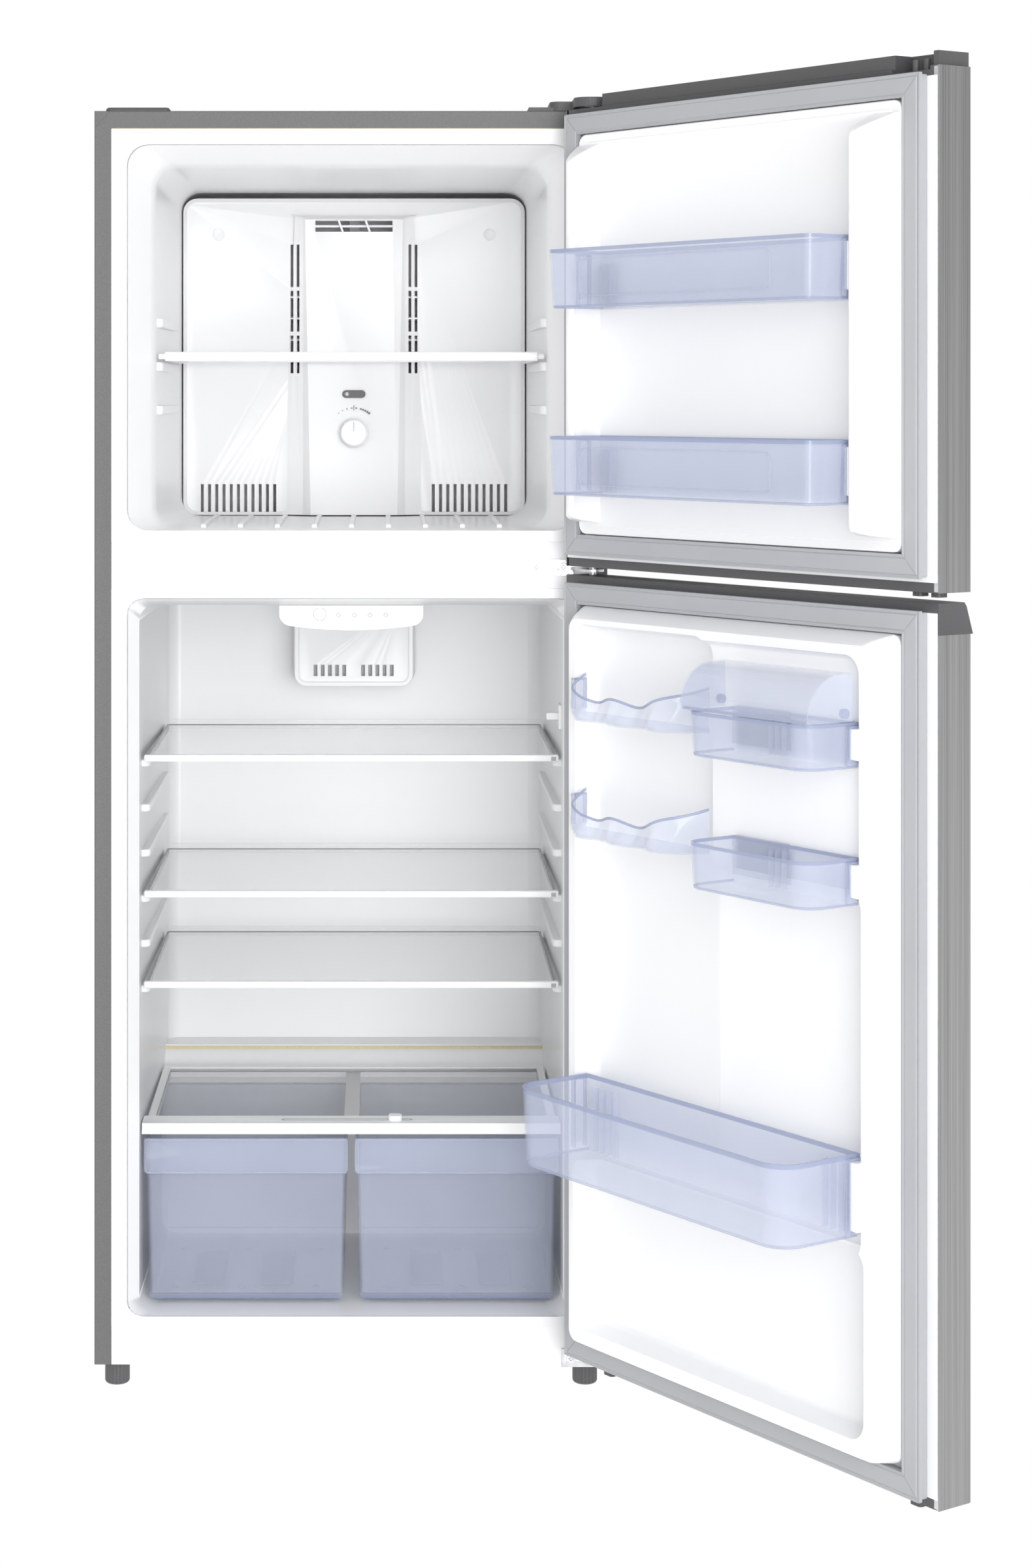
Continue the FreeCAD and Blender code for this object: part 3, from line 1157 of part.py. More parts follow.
def can_rack(z0):
    """A wavy rack for three cans, with high ends."""
    x0, x1, front, height = RACK
    pitch = (x1 - x0 - 24) / 3
    depth = front - BIN_BACK

    def outline(shrink):
        """The plan: a straight back and three bulges along the front."""
        back = BIN_BACK + shrink
        points = []
        steps = 30
        for i in range(steps + 1):
            x = x0 + shrink + (x1 - x0 - 2 * shrink) * i / steps
            wave = 7 * math.cos(2 * math.pi * (x - x0 - 12 - pitch / 2) / pitch)
            edge = min(1.0, min(x - x0, x1 - x) / 26 + 0.35)
            points.append(Vector(x, BIN_BACK + (depth - 8) * edge ** 0.5 + wave * edge - shrink, 0))
        curve = Part.BSplineCurve()
        curve.interpolate(points)
        first, last = points[0], points[-1]
        low_left = Vector(first.x, back, 0)
        low_right = Vector(last.x, back, 0)
        wire = Part.Wire([curve.toShape(), Part.makeLine(last, low_right), Part.makeLine(low_right, low_left),
                          Part.makeLine(low_left, first)])
        return Part.Face(wire)

    def block(shrink, base, top):
        face = outline(shrink)
        face.translate(Vector(0, 0, base))
        return face.extrude(Vector(0, 0, top - base))

    solid = block(0, z0, z0 + height).cut(block(BIN_WALL, z0 + BIN_WALL, z0 + height + 1))
    rim_points = []
    for i in range(41):
        x = x0 - 2 + (x1 - x0 + 4) * i / 40
        share = abs(2 * (x - x0) / (x1 - x0) - 1)
        wave = 3.0 * math.cos(2 * math.pi * (x - x0 - 12 - pitch / 2) / pitch)
        rise = height * (0.46 + 0.54 * max(0.0, (share - 0.55) / 0.45) ** 1.6)
        rim_points.append(Vector(x, BIN_BACK - 5, z0 + min(height - 1, rise + wave)))
    rim = Part.BSplineCurve()
    rim.interpolate(rim_points)
    first, last = rim_points[0], rim_points[-1]
    up_left = Vector(first.x, first.y, z0 + height + 5)
    up_right = Vector(last.x, last.y, z0 + height + 5)
    cutter = Part.Face(Part.Wire([rim.toShape(), Part.makeLine(last, up_right),
                                  Part.makeLine(up_right, up_left), Part.makeLine(up_left, first)]))
    solid = solid.cut(cutter.extrude(Vector(0, depth + 30, 0)))
    return joined([solid, end_bracket(1, x1, z0 + 10, z0 + height - 12)])


def swing_open(shape):
    """Turn a piece that was drawn on a closed door to where the door stands open."""
    shape.rotate(Vector(PIVOT_X, PIVOT_Y, 0), Vector(0, 0, 1), OPEN_ANGLE)
    return shape


def freezer_lugs():
    half, _, height = FREEZER_BIN
    lugs = []
    for z0 in FREEZER_BIN_Z:
        lugs += bin_lugs(half, FREEZER_PILLAR[0] + 3, z0 + 4, z0 + height - 4)
    return lugs


def fridge_lugs():
    lugs = []
    root = FRIDGE_PILLAR[0] + 2
    for values in (DAIRY, MIDDLE):
        z1 = values[4]
        lugs.append(box(values[0] - 1.0, -root, LUG_Y + 1, FRIDGE_PILLAR[1] - 1,
                        values[3] + 10, z1 - 3 - BRACKET - CLEAR))
    half, _, z0, z1 = BOTTOM_BIN
    for side in (-1, 1):
        lugs.append(box(side * (half + 1.0), side * root, LUG_Y + 1, FRIDGE_PILLAR[1] - 1,
                        z0 + 10, z1 - 3 - BRACKET - CLEAR))
    for z in RACK_Z:
        lugs.append(box(RACK[1] + 1.0, root, LUG_Y + 1, FRIDGE_PILLAR[1] - 1,
                        z + 14, z + RACK[3] - 12 - BRACKET - CLEAR))
    return lugs


def bottom_bin():
    half, front, z0, z1 = BOTTOM_BIN
    tub_shape = bin_tub(-half, half, BIN_BACK, front, z0, z1, 26)
    brackets = [end_bracket(s, half, z0 + 4, z1 - 3, LUG_Y + 1) for s in (-1, 1)]
    return joined([tub_shape] + brackets)


# ---------------------------------------------------------------- the nodes

FREEZER_Z = (FREEZER_DOOR[0] + CAP, FREEZER_DOOR[1] - CAP)
FRIDGE_Z = (FRIDGE_DOOR[0] + CAP, FRIDGE_DOOR[1] - CAP)

FIXED = {
    "cabinet_shell": cabinet_shell,
    "back_panel": back_panel,
    "insulation_foam": insulation_foam,
    "freezer_liner": freezer_liner,
    "fridge_liner": fridge_liner,
    "mullion_panel": mullion_panel,
    "bottom_panel": bottom_panel,
    "freezer_back_panel": freezer_back_panel,
    "evaporator": evaporator,
    "evaporator_fan_motor": evaporator_fan_motor,
    "control_housing": control_housing,
    "air_duct_cover": air_duct_cover,
    "crisper_cover_glass": crisper_cover_glass,
    "crisper_cover_frame": crisper_cover_frame,
    "top_hinge": top_hinge,
    "top_hinge_cover": top_hinge_cover,
    "top_blank_cap": top_blank_cap,
    "middle_hinge": middle_hinge,
    "bottom_hinge": bottom_hinge,
    "hinge_screws": hinge_screws,
    "hole_plugs": hole_plugs,
    "door_switch_housing": door_switch_housing,
    "base_tray": base_tray,
    "compressor": compressor,
    "condenser_coil": condenser_coil,
    "drain_pan": drain_pan,
    "power_inlet": power_inlet,
    "temperature_knob": temperature_knob,
    "evaporator_fan": evaporator_fan,
    "freezer_shelf": freezer_shelf,
    "fridge_shelf_upper": lambda: fridge_shelf(SHELF_TOPS[0]),
    "fridge_shelf_middle": lambda: fridge_shelf(SHELF_TOPS[1]),
    "fridge_shelf_lower": lambda: fridge_shelf(SHELF_TOPS[2]),
    "crisper_drawer_left": lambda: crisper_drawer(-1),
    "crisper_drawer_right": lambda: crisper_drawer(1),
    "humidity_slider": humidity_slider,
    "set_button": set_button,
    "door_switch_plunger": door_switch_plunger,
    "levelling_foot_left": lambda: levelling_foot(-FOOT_X),
    "levelling_foot_right": lambda: levelling_foot(FOOT_X),
}

ON_DOORS = {
    "freezer_door_skin": lambda: door_skin(*FREEZER_DOOR, FREEZER_SKIN_TOP),
    "freezer_door_foam": lambda: door_foam(freezer_door_form, *FREEZER_Z),
    "freezer_door_liner": lambda: door_liner(freezer_door_form, *FREEZER_Z, freezer_lugs()),
    "freezer_door_gasket": lambda: gasket(*FREEZER_GASKET),
    "freezer_door_top_cap": freezer_door_top_cap,
    "freezer_door_bottom_cap": freezer_door_bottom_cap,
    "fridge_door_skin": lambda: door_skin(FRIDGE_DOOR[0], FRIDGE_DOOR[1] - GRIP_DROP, 0),
    "fridge_door_foam": fridge_door_foam,
    "fridge_door_liner": lambda: door_liner(fridge_door_form, *FRIDGE_Z, fridge_lugs()),
    "fridge_door_gasket": lambda: gasket(*FRIDGE_GASKET),
    "fridge_door_top_cap": fridge_door_top_cap,
    "fridge_door_bottom_cap": fridge_door_bottom_cap,
    "freezer_bin_upper": lambda: freezer_bin(FREEZER_BIN_Z[0]),
    "freezer_bin_lower": lambda: freezer_bin(FREEZER_BIN_Z[1]),
    "can_rack_upper": lambda: can_rack(RACK_Z[0]),
    "can_rack_lower": lambda: can_rack(RACK_Z[1]),
    "dairy_bin": lambda: column_bin(DAIRY),
    "dairy_cover": dairy_cover,
    "middle_bin": lambda: column_bin(MIDDLE),
    "bottom_bin": bottom_bin,
}

os.makedirs("parts", exist_ok=True)
for name, make in FIXED.items():
    make().exportStep("parts/" + name + ".step")
for name, make in ON_DOORS.items():
    swing_open(make()).exportStep("parts/" + name + ".step")
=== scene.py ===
import json
import math

import bmesh
import bpy
from bpy.props import FloatProperty, FloatVectorProperty
from mathutils import Matrix, Vector


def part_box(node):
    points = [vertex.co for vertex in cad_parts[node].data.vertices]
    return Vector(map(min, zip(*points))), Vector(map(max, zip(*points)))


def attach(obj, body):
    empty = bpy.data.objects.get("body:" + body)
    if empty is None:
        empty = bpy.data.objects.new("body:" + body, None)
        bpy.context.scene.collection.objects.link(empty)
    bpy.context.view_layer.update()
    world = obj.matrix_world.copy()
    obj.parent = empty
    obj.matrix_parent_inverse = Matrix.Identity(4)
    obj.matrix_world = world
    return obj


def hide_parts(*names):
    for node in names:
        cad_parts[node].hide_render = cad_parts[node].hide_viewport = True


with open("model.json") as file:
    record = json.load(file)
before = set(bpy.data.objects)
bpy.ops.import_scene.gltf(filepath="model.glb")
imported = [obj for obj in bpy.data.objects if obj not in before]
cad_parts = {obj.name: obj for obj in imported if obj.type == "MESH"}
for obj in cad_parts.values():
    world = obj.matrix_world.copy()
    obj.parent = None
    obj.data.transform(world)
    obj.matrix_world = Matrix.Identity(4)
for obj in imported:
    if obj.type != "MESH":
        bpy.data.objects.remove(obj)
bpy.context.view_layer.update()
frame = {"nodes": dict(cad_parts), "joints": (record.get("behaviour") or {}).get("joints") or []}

bl_info = {
    "name": "Top freezer refrigerator",
    "version": (1, 0, 0),
    "blender": (4, 5, 0),
    "location": "View3D > Sidebar > Refrigerator",
    "description": "Builds the visible pieces and finishes of a two-door refrigerator",
    "category": "Add Mesh",
}

MM = 0.001
NODES = frame["nodes"]

# Places that several pieces share, in metres from the frame's origin.
STEP_FRONT, STEP_TOP, STEP_SLOPE = 0.345, 0.318, 53 * MM
LEDGE_FRONT = 0.394
RAIL_PITCH = 53.6 * MM
SHELF_RIM = 7 * MM
LUG_FRONT, LUG_BACK = 21 * MM, 33 * MM
SEAL_WIDTH = 24 * MM
SEAL_REACH = 25 * MM
FREEZER_PILLAR_INNER, FREEZER_PILLAR_OUTER = 222 * MM, 262 * MM
FREEZER_CEILING = 1455 * MM
DOOR_BLOCK_HALF, DOOR_BLOCK_BOTTOM = 260 * MM, 86 * MM
DOOR_LUG_INNER, DOOR_LUG_OUTER = 222 * MM, 234 * MM

# The camera, and the point that the lights face.
LENS_MM, SENSOR_MM = 69.7, 36
CAMERA_AT = (0.0366, -3.55, 1.1614)
CAMERA_SHIFT = (0.0853, -0.2479)
LIGHTS_AIM = (0.15, 0.1, 0.85)


# ---------------------------------------------------------------- modelling helpers


def only(piece):
    """Object mode with nothing but this piece selected."""
    if bpy.context.mode != "OBJECT":
        bpy.ops.object.mode_set(mode="OBJECT")
    bpy.ops.object.select_all(action="DESELECT")
    if piece:
        piece.select_set(True)
        bpy.context.view_layer.objects.active = piece


def named(name):
    """Names the primitive just added and puts its place into its mesh."""
    piece = bpy.context.active_object
    piece.name = name
    piece.data.name = name
    bpy.ops.object.transform_apply(location=True, rotation=True, scale=True)
    return piece


def cube(name, low, high):
    only(None)
    low, high = Vector(low), Vector(high)
    bpy.ops.mesh.primitive_cube_add(size=1, location=(low + high) / 2, scale=high - low)
    return named(name)


def rod(name, centre, radius, length, axis="Z", sides=32):
    only(None)
    turn = {"X": (0, math.pi / 2, 0), "Y": (math.pi / 2, 0, 0), "Z": (0, 0, 0)}[axis]
    bpy.ops.mesh.primitive_cylinder_add(
        vertices=sides, radius=radius, depth=length, location=centre, rotation=turn)
    return named(name)


def ring(name, centre, radius, thickness):
    """A torus that faces the front."""
    only(None)
    bpy.ops.mesh.primitive_torus_add(
        major_radius=radius, minor_radius=thickness, major_segments=32, minor_segments=8,
        location=centre, rotation=(math.pi / 2, 0, 0))
    return named(name)


def choose(piece, faces=None, edges=None):
    """Edit mode with the faces or edges selected that pass a test on their place."""
    only(piece)
    bpy.ops.object.mode_set(mode="EDIT")
    bpy.ops.mesh.select_mode(type="FACE" if faces else "EDGE")
    bpy.ops.mesh.select_all(action="DESELECT")
    mesh = bmesh.from_edit_mesh(piece.data)
    for face in mesh.faces if faces else ():
        if faces(face.calc_center_median(), face.normal):
            face.select_set(True)
    for edge in mesh.edges if edges else ():
        if edges(edge.verts[0].co, edge.verts[1].co):
            edge.select_set(True)
    bmesh.update_edit_mesh(piece.data)


def done():
    bpy.ops.object.mode_set(mode="OBJECT")


def round_edges(piece, test, width, segments=4):
    choose(piece, edges=test)
    bpy.ops.mesh.bevel(offset=width, segments=segments, affect="EDGES", clamp_overlap=True)
    done()


def resize_face(piece, test, scale, centre):
    choose(piece, faces=test)
    bpy.ops.transform.resize(value=scale, center_override=centre)
    done()


def step_face(piece, test, *steps):
    """Insets the faces that pass a test and slides them along Y: steps are (inset, slide)."""
    choose(piece, faces=test)
    for inset, slide in steps:
        bpy.ops.mesh.inset(thickness=inset)
        if slide:
            bpy.ops.transform.translate(value=(0, slide, 0))
    done()


def delete_faces(piece, test):
    choose(piece, faces=test)
    bpy.ops.mesh.delete(type="FACE")
    done()


def slice_at(piece, point, normal):
    """An extra loop of edges where a plane cuts the piece."""
    only(piece)
    bpy.ops.object.mode_set(mode="EDIT")
    bpy.ops.mesh.select_all(action="SELECT")
    bpy.ops.mesh.bisect(plane_co=point, plane_no=normal)
    done()


def apply(piece, kind, **settings):
    only(piece)
    modifier = piece.modifiers.new(kind.title(), kind)
    for key, value in settings.items():
        setattr(modifier, key, value)
    bpy.ops.object.modifier_apply(modifier=modifier.name)
    return piece


def smooth(piece, angle=35):
    only(piece)
    bpy.ops.object.shade_smooth_by_angle(angle=math.radians(angle))
    apply(piece, "WEIGHTED_NORMAL", keep_sharp=True)
    for face in piece.data.polygons:
        if len(face.vertices) > 4:
            face.use_smooth = False
    return piece


def soften(piece, width, angle=30, segments=2):
    """Rounds every edge that is sharper than the angle."""
    apply(piece, "BEVEL", width=width, segments=segments, limit_method="ANGLE",
          angle_limit=math.radians(angle), use_clamp_overlap=True)
    return smooth(piece)


def cut(piece, *cutters):
    for cutter in cutters:
        apply(piece, "BOOLEAN", operation="DIFFERENCE", solver="EXACT", object=cutter)
        bpy.data.objects.remove(cutter)
    return piece


def unite(piece, *others):
    for other in others:
        apply(piece, "BOOLEAN", operation="UNION", solver="EXACT", object=other)
        bpy.data.objects.remove(other)
    return piece


def join(piece, *others):
    only(piece)
    for other in others:
        other.select_set(True)
    bpy.context.view_layer.objects.active = piece
    bpy.ops.object.join()
    return piece


def mirror(piece):
    """Mirrors a piece across the middle of the cabinet."""
    piece.data.transform(Matrix.Scale(-1, 4, (1, 0, 0)))
    piece.data.flip_normals()


def turned(piece, place, angle):
    """Turns a piece made at the origin about Y and moves it to its place."""
    piece.data.transform(Matrix.Translation(place) @ Matrix.Rotation(angle, 4, "Y"))
    return piece


def copy_of(piece, name, move=(0, 0, 0), flip=False):
    copy = piece.copy()
    copy.data = piece.data.copy()
    copy.name = name
    copy.data.name = name
    bpy.context.collection.objects.link(copy)
    if flip:
        mirror(copy)
    copy.data.transform(Matrix.Translation(move))
    return copy


def wall(piece, thickness, offset=-1.0):
    apply(piece, "SOLIDIFY", thickness=thickness, offset=offset, use_even_offset=False)
    return piece


def along_x(a, b):
    return abs((b - a).normalized().x) > 0.9


def along_y(a, b):
    return abs((b - a).normalized().y) > 0.7


def along_z(a, b):
    return abs((b - a).normalized().z) > 0.7


def front_to_back(a, b):
    return abs(a.y - b.y) > MM


def at(axis, level, slack):
    """A test for edges that lie at one level of an axis."""
    return lambda a, b: abs(a[axis] - level) < slack and abs(b[axis] - level) < slack


def facing(axis, sign, least=0.7):
    """A test for faces whose normal points along an axis."""
    return lambda centre, normal: normal[axis] * sign > least


FRONT, BACK = facing(1, -1), facing(1, 1)
UP, DOWN = facing(2, 1), facing(2, -1)
FLAT_FRONT, FLAT_TOP = facing(1, -1, 0.9), facing(2, 1, 0.9)


def dress(piece, finish):
    piece.data.materials.clear()
    piece.data.materials.append(FINISHES[finish])
    return piece


def soft(piece, finish, width, angle=30, segments=2):
    """Rounds a piece's sharp edges and gives it its finish."""
    return dress(soften(piece, width, angle, segments), finish)


def tint(piece, finish, test):
    """A second finish on the faces that pass a test on their middle and normal."""
    piece.data.materials.append(FINISHES[finish])
    index = len(piece.data.materials) - 1
    for face in piece.data.polygons:
        if test(face.center, face.normal):
            face.material_index = index
    return piece


def finish_piece(piece, body, slot, *nodes):
    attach(piece, body)
    if nodes:
        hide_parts(*nodes)
    return piece


def softened(node, finish, body, slot, width=0.6 * MM, angle=30):
    """A CAD node's own shape with its edges rounded, standing for the node."""
    piece = copy_of(NODES[node], node + "_soft")
    piece.parent = None
    for key in list(piece.keys()):
        del piece[key]
    only(piece)
    bpy.ops.object.mode_set(mode="EDIT")
    bpy.ops.mesh.select_all(action="SELECT")
    bpy.ops.mesh.remove_doubles(threshold=0.00002)
    bpy.ops.mesh.dissolve_limited(angle_limit=math.radians(3))
    done()
    soften(piece, width, angle)
    dress(piece, finish)
    return finish_piece(piece, body, slot, node)


class Door:
    """A door's swing, so that its pieces can be modelled shut and placed open."""

    def __init__(self, body):
        hinge = next(j for j in frame["joints"] if j["child"] == body)
        pivot = Vector(hinge["pos_m"])
        angle = math.radians(-hinge["range_deg"][0])
        self.body = body
        turn = Matrix.Rotation(angle, 4, "Z")
        self.swing = Matrix.Translation(pivot) @ turn @ Matrix.Translation(-pivot)
        self.shut = self.swing.inverted()

    def box(self, node):
        """A node's lowest and highest corners with the door shut."""
        points = [self.shut @ v.co for v in NODES[node].data.vertices]
        low = Vector([min(p[i] for p in points) for i in range(3)])
        high = Vector([max(p[i] for p in points) for i in range(3)])
        return low, high

    def hang(self, piece, slot, *nodes, body=None):
        piece.data.transform(self.swing)
        return finish_piece(piece, body or self.body, slot, *nodes)


FREEZER_DOOR = Door("freezer_door")
FRIDGE_DOOR = Door("fridge_door")


# ---------------------------------------------------------------- finishes


class Value:
    """A node's output that takes part in Python arithmetic."""

    def __init__(self, finish, socket):
        self.finish = finish
        self.socket = socket

    def __add__(self, other):
        return self.finish.math("ADD", self, other)

    def __mul__(self, other):
        return self.finish.math("MULTIPLY", self, other)


class Finish:
    """A material under construction."""

    def __init__(self, name):
        self.material = bpy.data.materials.new(name)
        self.material.use_nodes = True
        self.tree = self.material.node_tree
        self.tree.nodes.clear()

    def node(self, kind, settings=None, inputs=None, output=0):
        made = self.tree.nodes.new(kind)
        for key, value in (settings or {}).items():
            setattr(made, key, value)
        for key, value in (inputs or {}).items():
            if isinstance(value, Value):
                self.tree.links.new(value.socket, made.inputs[key])
            else:
                made.inputs[key].default_value = value
        return Value(self, made.outputs[output])

    def math(self, operation, first, second):
        return self.node("ShaderNodeMath", {"operation": operation}, {0: first, 1: second})

    def noise(self, scale, detail=2.0, stretch=(1, 1, 1)):
        coords = self.node("ShaderNodeTexCoord", output="Object")
        place = self.node("ShaderNodeMapping", inputs={"Vector": coords, "Scale": stretch})
        return self.node("ShaderNodeTexNoise", inputs={"Vector": place, "Scale": scale, "Detail": detail})

    def cells(self, scale):
        coords = self.node("ShaderNodeTexCoord", output="Object")
        return self.node("ShaderNodeTexVoronoi", inputs={"Vector": coords, "Scale": scale})

    def mix(self, factor, first, second):
        return self.node("ShaderNodeMix", {"data_type": "RGBA"}, {0: factor, 6: first, 7: second}, 2)

    def limit(self, value, low, high):
        return self.node("ShaderNodeMapRange", inputs={
            "Value": value, "From Min": low, "From Max": high})

    def bump(self, height, strength, distance):
        return self.node("ShaderNodeBump", inputs={
            "Height": height, "Strength": strength, "Distance": distance})

    def shade(self, **sockets):
        inputs = {key.replace("_", " "): value for key, value in sockets.items()}
        shader = self.node("ShaderNodeBsdfPrincipled", inputs=inputs)
        out = self.tree.nodes.new("ShaderNodeOutputMaterial")
        self.tree.links.new(shader.socket, out.inputs["Surface"])
        return self.material


def grey(level):
    return (level, level, level * 1.01, 1.0)


def shade_of(colour, factor):
    return tuple(min(1.0, c * factor) for c in colour[:3]) + (1.0,)


def moulded_plastic(name, colour, roughness, peel=0.06, spread=0.03):
    """Injection or vacuum formed plastic: faint mottling and an orange-peel surface."""
    f = Finish(name)
    cloud = f.noise(6.0, 3.0)
    fine = f.noise(700.0, 2.0)
    tone = f.mix(cloud, shade_of(colour, 1 - spread), shade_of(colour, 1 + spread / 2))
    return f.shade(Base_Color=tone, Roughness=fine * 0.1 + (roughness - 0.05),
                   Normal=f.bump(fine, peel, 0.0003))


def pebbled(name, colour, roughness, size):
    """Paint or plastic with a pebbled grain."""
    f = Finish(name)
    grain = f.cells(size)
    cloud = f.noise(4.0, 3.0)
    tone = f.mix(f.limit(grain, 0.05, 0.6), shade_of(colour, 0.86), shade_of(colour, 1.08))
    return f.shade(Base_Color=tone, Roughness=cloud * 0.12 + (roughness - 0.06),
                   Normal=f.bump(grain, 0.35, 0.0004))


def brushed_steel(name, colour):
    """Stainless sheet with a fine upright brush."""
    f = Finish(name)
    hair = f.noise(1.0, 4.0, (1500, 1500, 3.0))
    streak = f.noise(1.0, 2.0, (260, 260, 0.8))
    lines = hair * 0.65 + streak * 0.35
    band = f.limit(lines, 0.3, 0.7)
    tone = f.mix(band, shade_of(colour, 0.62), shade_of(colour, 1.25))
    return f.shade(Base_Color=tone, Metallic=1.0, Roughness=band * 0.16 + 0.26,
                   Normal=f.bump(lines, 0.25, 0.0002))


def plated(name, colour, roughness):
    """Zinc plated or cast metal with faint crystals and wear."""
    f = Finish(name)
    crystal = f.cells(160.0)
    haze = f.noise(45.0, 4.0)
    tone = f.mix(f.limit(crystal, 0.0, 0.8), shade_of(colour, 0.9), shade_of(colour, 1.08))
    return f.shade(Base_Color=tone, Metallic=1.0, Roughness=haze * 0.2 + (roughness - 0.1),
                   Normal=f.bump(haze, 0.1, 0.0003))


def rubber(name, colour):
    f = Finish(name)
    fine = f.noise(1400.0, 2.0)
    cloud = f.noise(9.0, 3.0)
    tone = f.mix(cloud, shade_of(colour, 0.93), shade_of(colour, 1.05))
    return f.shade(Base_Color=tone, Roughness=fine * 0.15 + 0.42, Normal=f.bump(fine, 0.1, 0.0002))


def clear(name, colour, alpha, roughness=0.08):
    """Thin clear moulded plastic or glass: a tinted film with faint flow lines."""
    f = Finish(name)
    flow = f.noise(18.0, 2.0)
    return f.shade(Base_Color=f.mix(flow, shade_of(colour, 0.95), shade_of(colour, 1.05)), Alpha=alpha,
                   Roughness=flow * 0.06 + (roughness - 0.03))


def foam(name, colour):
    f = Finish(name)
    grain = f.noise(260.0, 5.0)
    tone = f.mix(grain, shade_of(colour, 0.85), shade_of(colour, 1.1))
    return f.shade(Base_Color=tone, Roughness=0.9, Normal=f.bump(grain, 0.5, 0.001))


FINISHES = {}


def make_finishes(looks):
    FINISHES.update({
        "liner": moulded_plastic("liner_plastic", looks.liner, 0.3, 0.04),
        "white": moulded_plastic("trim_plastic", looks.trim, 0.36, 0.05),
        "panel": moulded_plastic("panel_paint", looks.trim, 0.4, 0.08),
        "shell": pebbled("shell_paint", looks.shell, 0.5, 750.0),
        "cap": pebbled("cap_plastic", looks.cap, 0.45, 1300.0),
        "foot": pebbled("foot_plastic", looks.foot, 0.5, 900.0),
        "steel": brushed_steel("door_steel", looks.steel),
        "zinc": plated("zinc_plate", looks.zinc, 0.34),
        "alu": plated("cooler_aluminium", (0.8, 0.81, 0.82), 0.3),
        "tray": plated("tray_zinc", (0.55, 0.56, 0.57), 0.45),
        "back": pebbled("back_paint", (0.42, 0.43, 0.44), 0.45, 500.0),
        "black": pebbled("compressor_paint", (0.02, 0.02, 0.021), 0.35, 600.0),
        "gasket": rubber("seal_rubber", looks.seal),
        "foam": foam("cabinet_foam", (0.85, 0.76, 0.5)),
        "clear": clear("bin_plastic", looks.clear, looks.clear_alpha),
        # The edge finish is a darker, more opaque copy of the bin plastic: painted shade for the darkening
        # that clear plastic shows at its rims and edges.
        "edge": clear("bin_edge_painted_shade", looks.clear_edge_shade, 0.62),
        "glass": clear("shelf_glass", (0.82, 0.85, 0.86), 0.16, 0.05),
        "glass_edge": moulded_plastic("glass_edge", (0.2, 0.215, 0.215), 0.2),
        "frosted": moulded_plastic("pan_plastic", (0.75, 0.77, 0.78), 0.35),
        "ink": moulded_plastic("scale_ink", (0.12, 0.12, 0.125), 0.5, 0.02),
        "grey": moulded_plastic("lamp_ring", (0.42, 0.43, 0.44), 0.4, 0.02),
        "lamp": moulded_plastic("lamp_lens", (0.72, 0.74, 0.74), 0.2, 0.02),
    })


# ---------------------------------------------------------------- cabinet


def cabinet_wrap(sizes):
    """The painted outer sheet, with a mitred frame round the front."""
    low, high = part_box("cabinet_shell")
    fold = sizes.fold_radius
    wrap = cube("cabinet_wrap", (low.x, low.y, low.z - 2 * sizes.frame_width), high)
    round_edges(wrap, lambda a, b: max(a.y, b.y) < low.y + MM and max(a.z, b.z) > low.z + MM, fold, 3)
    delete_faces(wrap, lambda c, n: n.y > 0.9 or n.z < -0.9)
    choose(wrap, faces=lambda c, n: n.y < -0.99)
    bpy.ops.mesh.inset(thickness=sizes.frame_width - fold)
    bpy.ops.mesh.delete(type="FACE")
    bpy.ops.mesh.select_all(action="SELECT")
    bpy.ops.mesh.bisect(plane_co=low, plane_no=(0, 0, 1), clear_inner=True)
    done()
    wall(wrap, 1.0 * MM)
    middle = sizes.frame_width / 2
    grooves = []
    for side in (-1, 1):
        groove = cube("mitre_cut", (-0.02, -0.3 * MM, -0.25 * MM), (0.02, 0.3 * MM, 0.25 * MM))
        corner = (side * (high.x - middle), low.y, high.z - middle)
        grooves.append(turned(groove, corner, side * math.radians(45)))
    cut(wrap, *grooves)
    dress(smooth(wrap), "shell")
    finish_piece(wrap, "cabinet", "shell", "cabinet_shell")


def front_panels():
    """The painted strips between and under the two openings."""
    for node in ("mullion_panel", "bottom_panel"):
        low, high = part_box(node)
        strip = cube(node + "_cover", low, high)
        step_face(strip, FRONT, (1.2 * MM, 0))
        soften(strip, 0.5 * MM)
        dress(strip, "panel")
        finish_piece(strip, "cabinet", "white", node)


def rear_sheet():
    """The rear panel with its upright spacing ribs."""
    low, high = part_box("back_panel")
    sheet = cube("rear_sheet", (low.x, high.y - 3 * MM, low.z), (high.x, high.y - 2 * MM, high.z))
    soft(sheet, "back", 0.3 * MM)
    ribs = []
    count = 6
    for i in range(count):
        x = low.x + 0.074 + (high.x - low.x - 0.148) * i / (count - 1)
        rib = cube("rib", (x - 6 * MM, high.y - 3 * MM, low.z + 0.05), (x + 6 * MM, high.y, high.z - 0.09))
        round_edges(rib, lambda a, b: min(a.y, b.y) > high.y - MM, 1.8 * MM, 3)
        ribs.append(dress(smooth(rib), "back"))
    join(sheet, *ribs)
    finish_piece(sheet, "cabinet", "back", "back_panel")


def section(piece, depth, x0, x1, z0, z1):
    """Gives the loop of edges at one depth its own width and height."""
    choose(piece, edges=at(1, depth, 0.1 * MM))
    mesh = bmesh.from_edit_mesh(piece.data)
    loop = [v.co.copy() for v in mesh.verts if v.select]
    left, right = min(p.x for p in loop), max(p.x for p in loop)
    bottom, top = min(p.z for p in loop), max(p.z for p in loop)
    middle = Vector(((left + right) / 2, depth, (bottom + top) / 2))
    bpy.ops.transform.resize(
        value=((x1 - x0) / (right - left), 1, (z1 - z0) / (top - bottom)), center_override=middle)
    bpy.ops.transform.translate(value=((x0 + x1) / 2 - middle.x, 0, (z0 + z1) / 2 - middle.z))
    done()


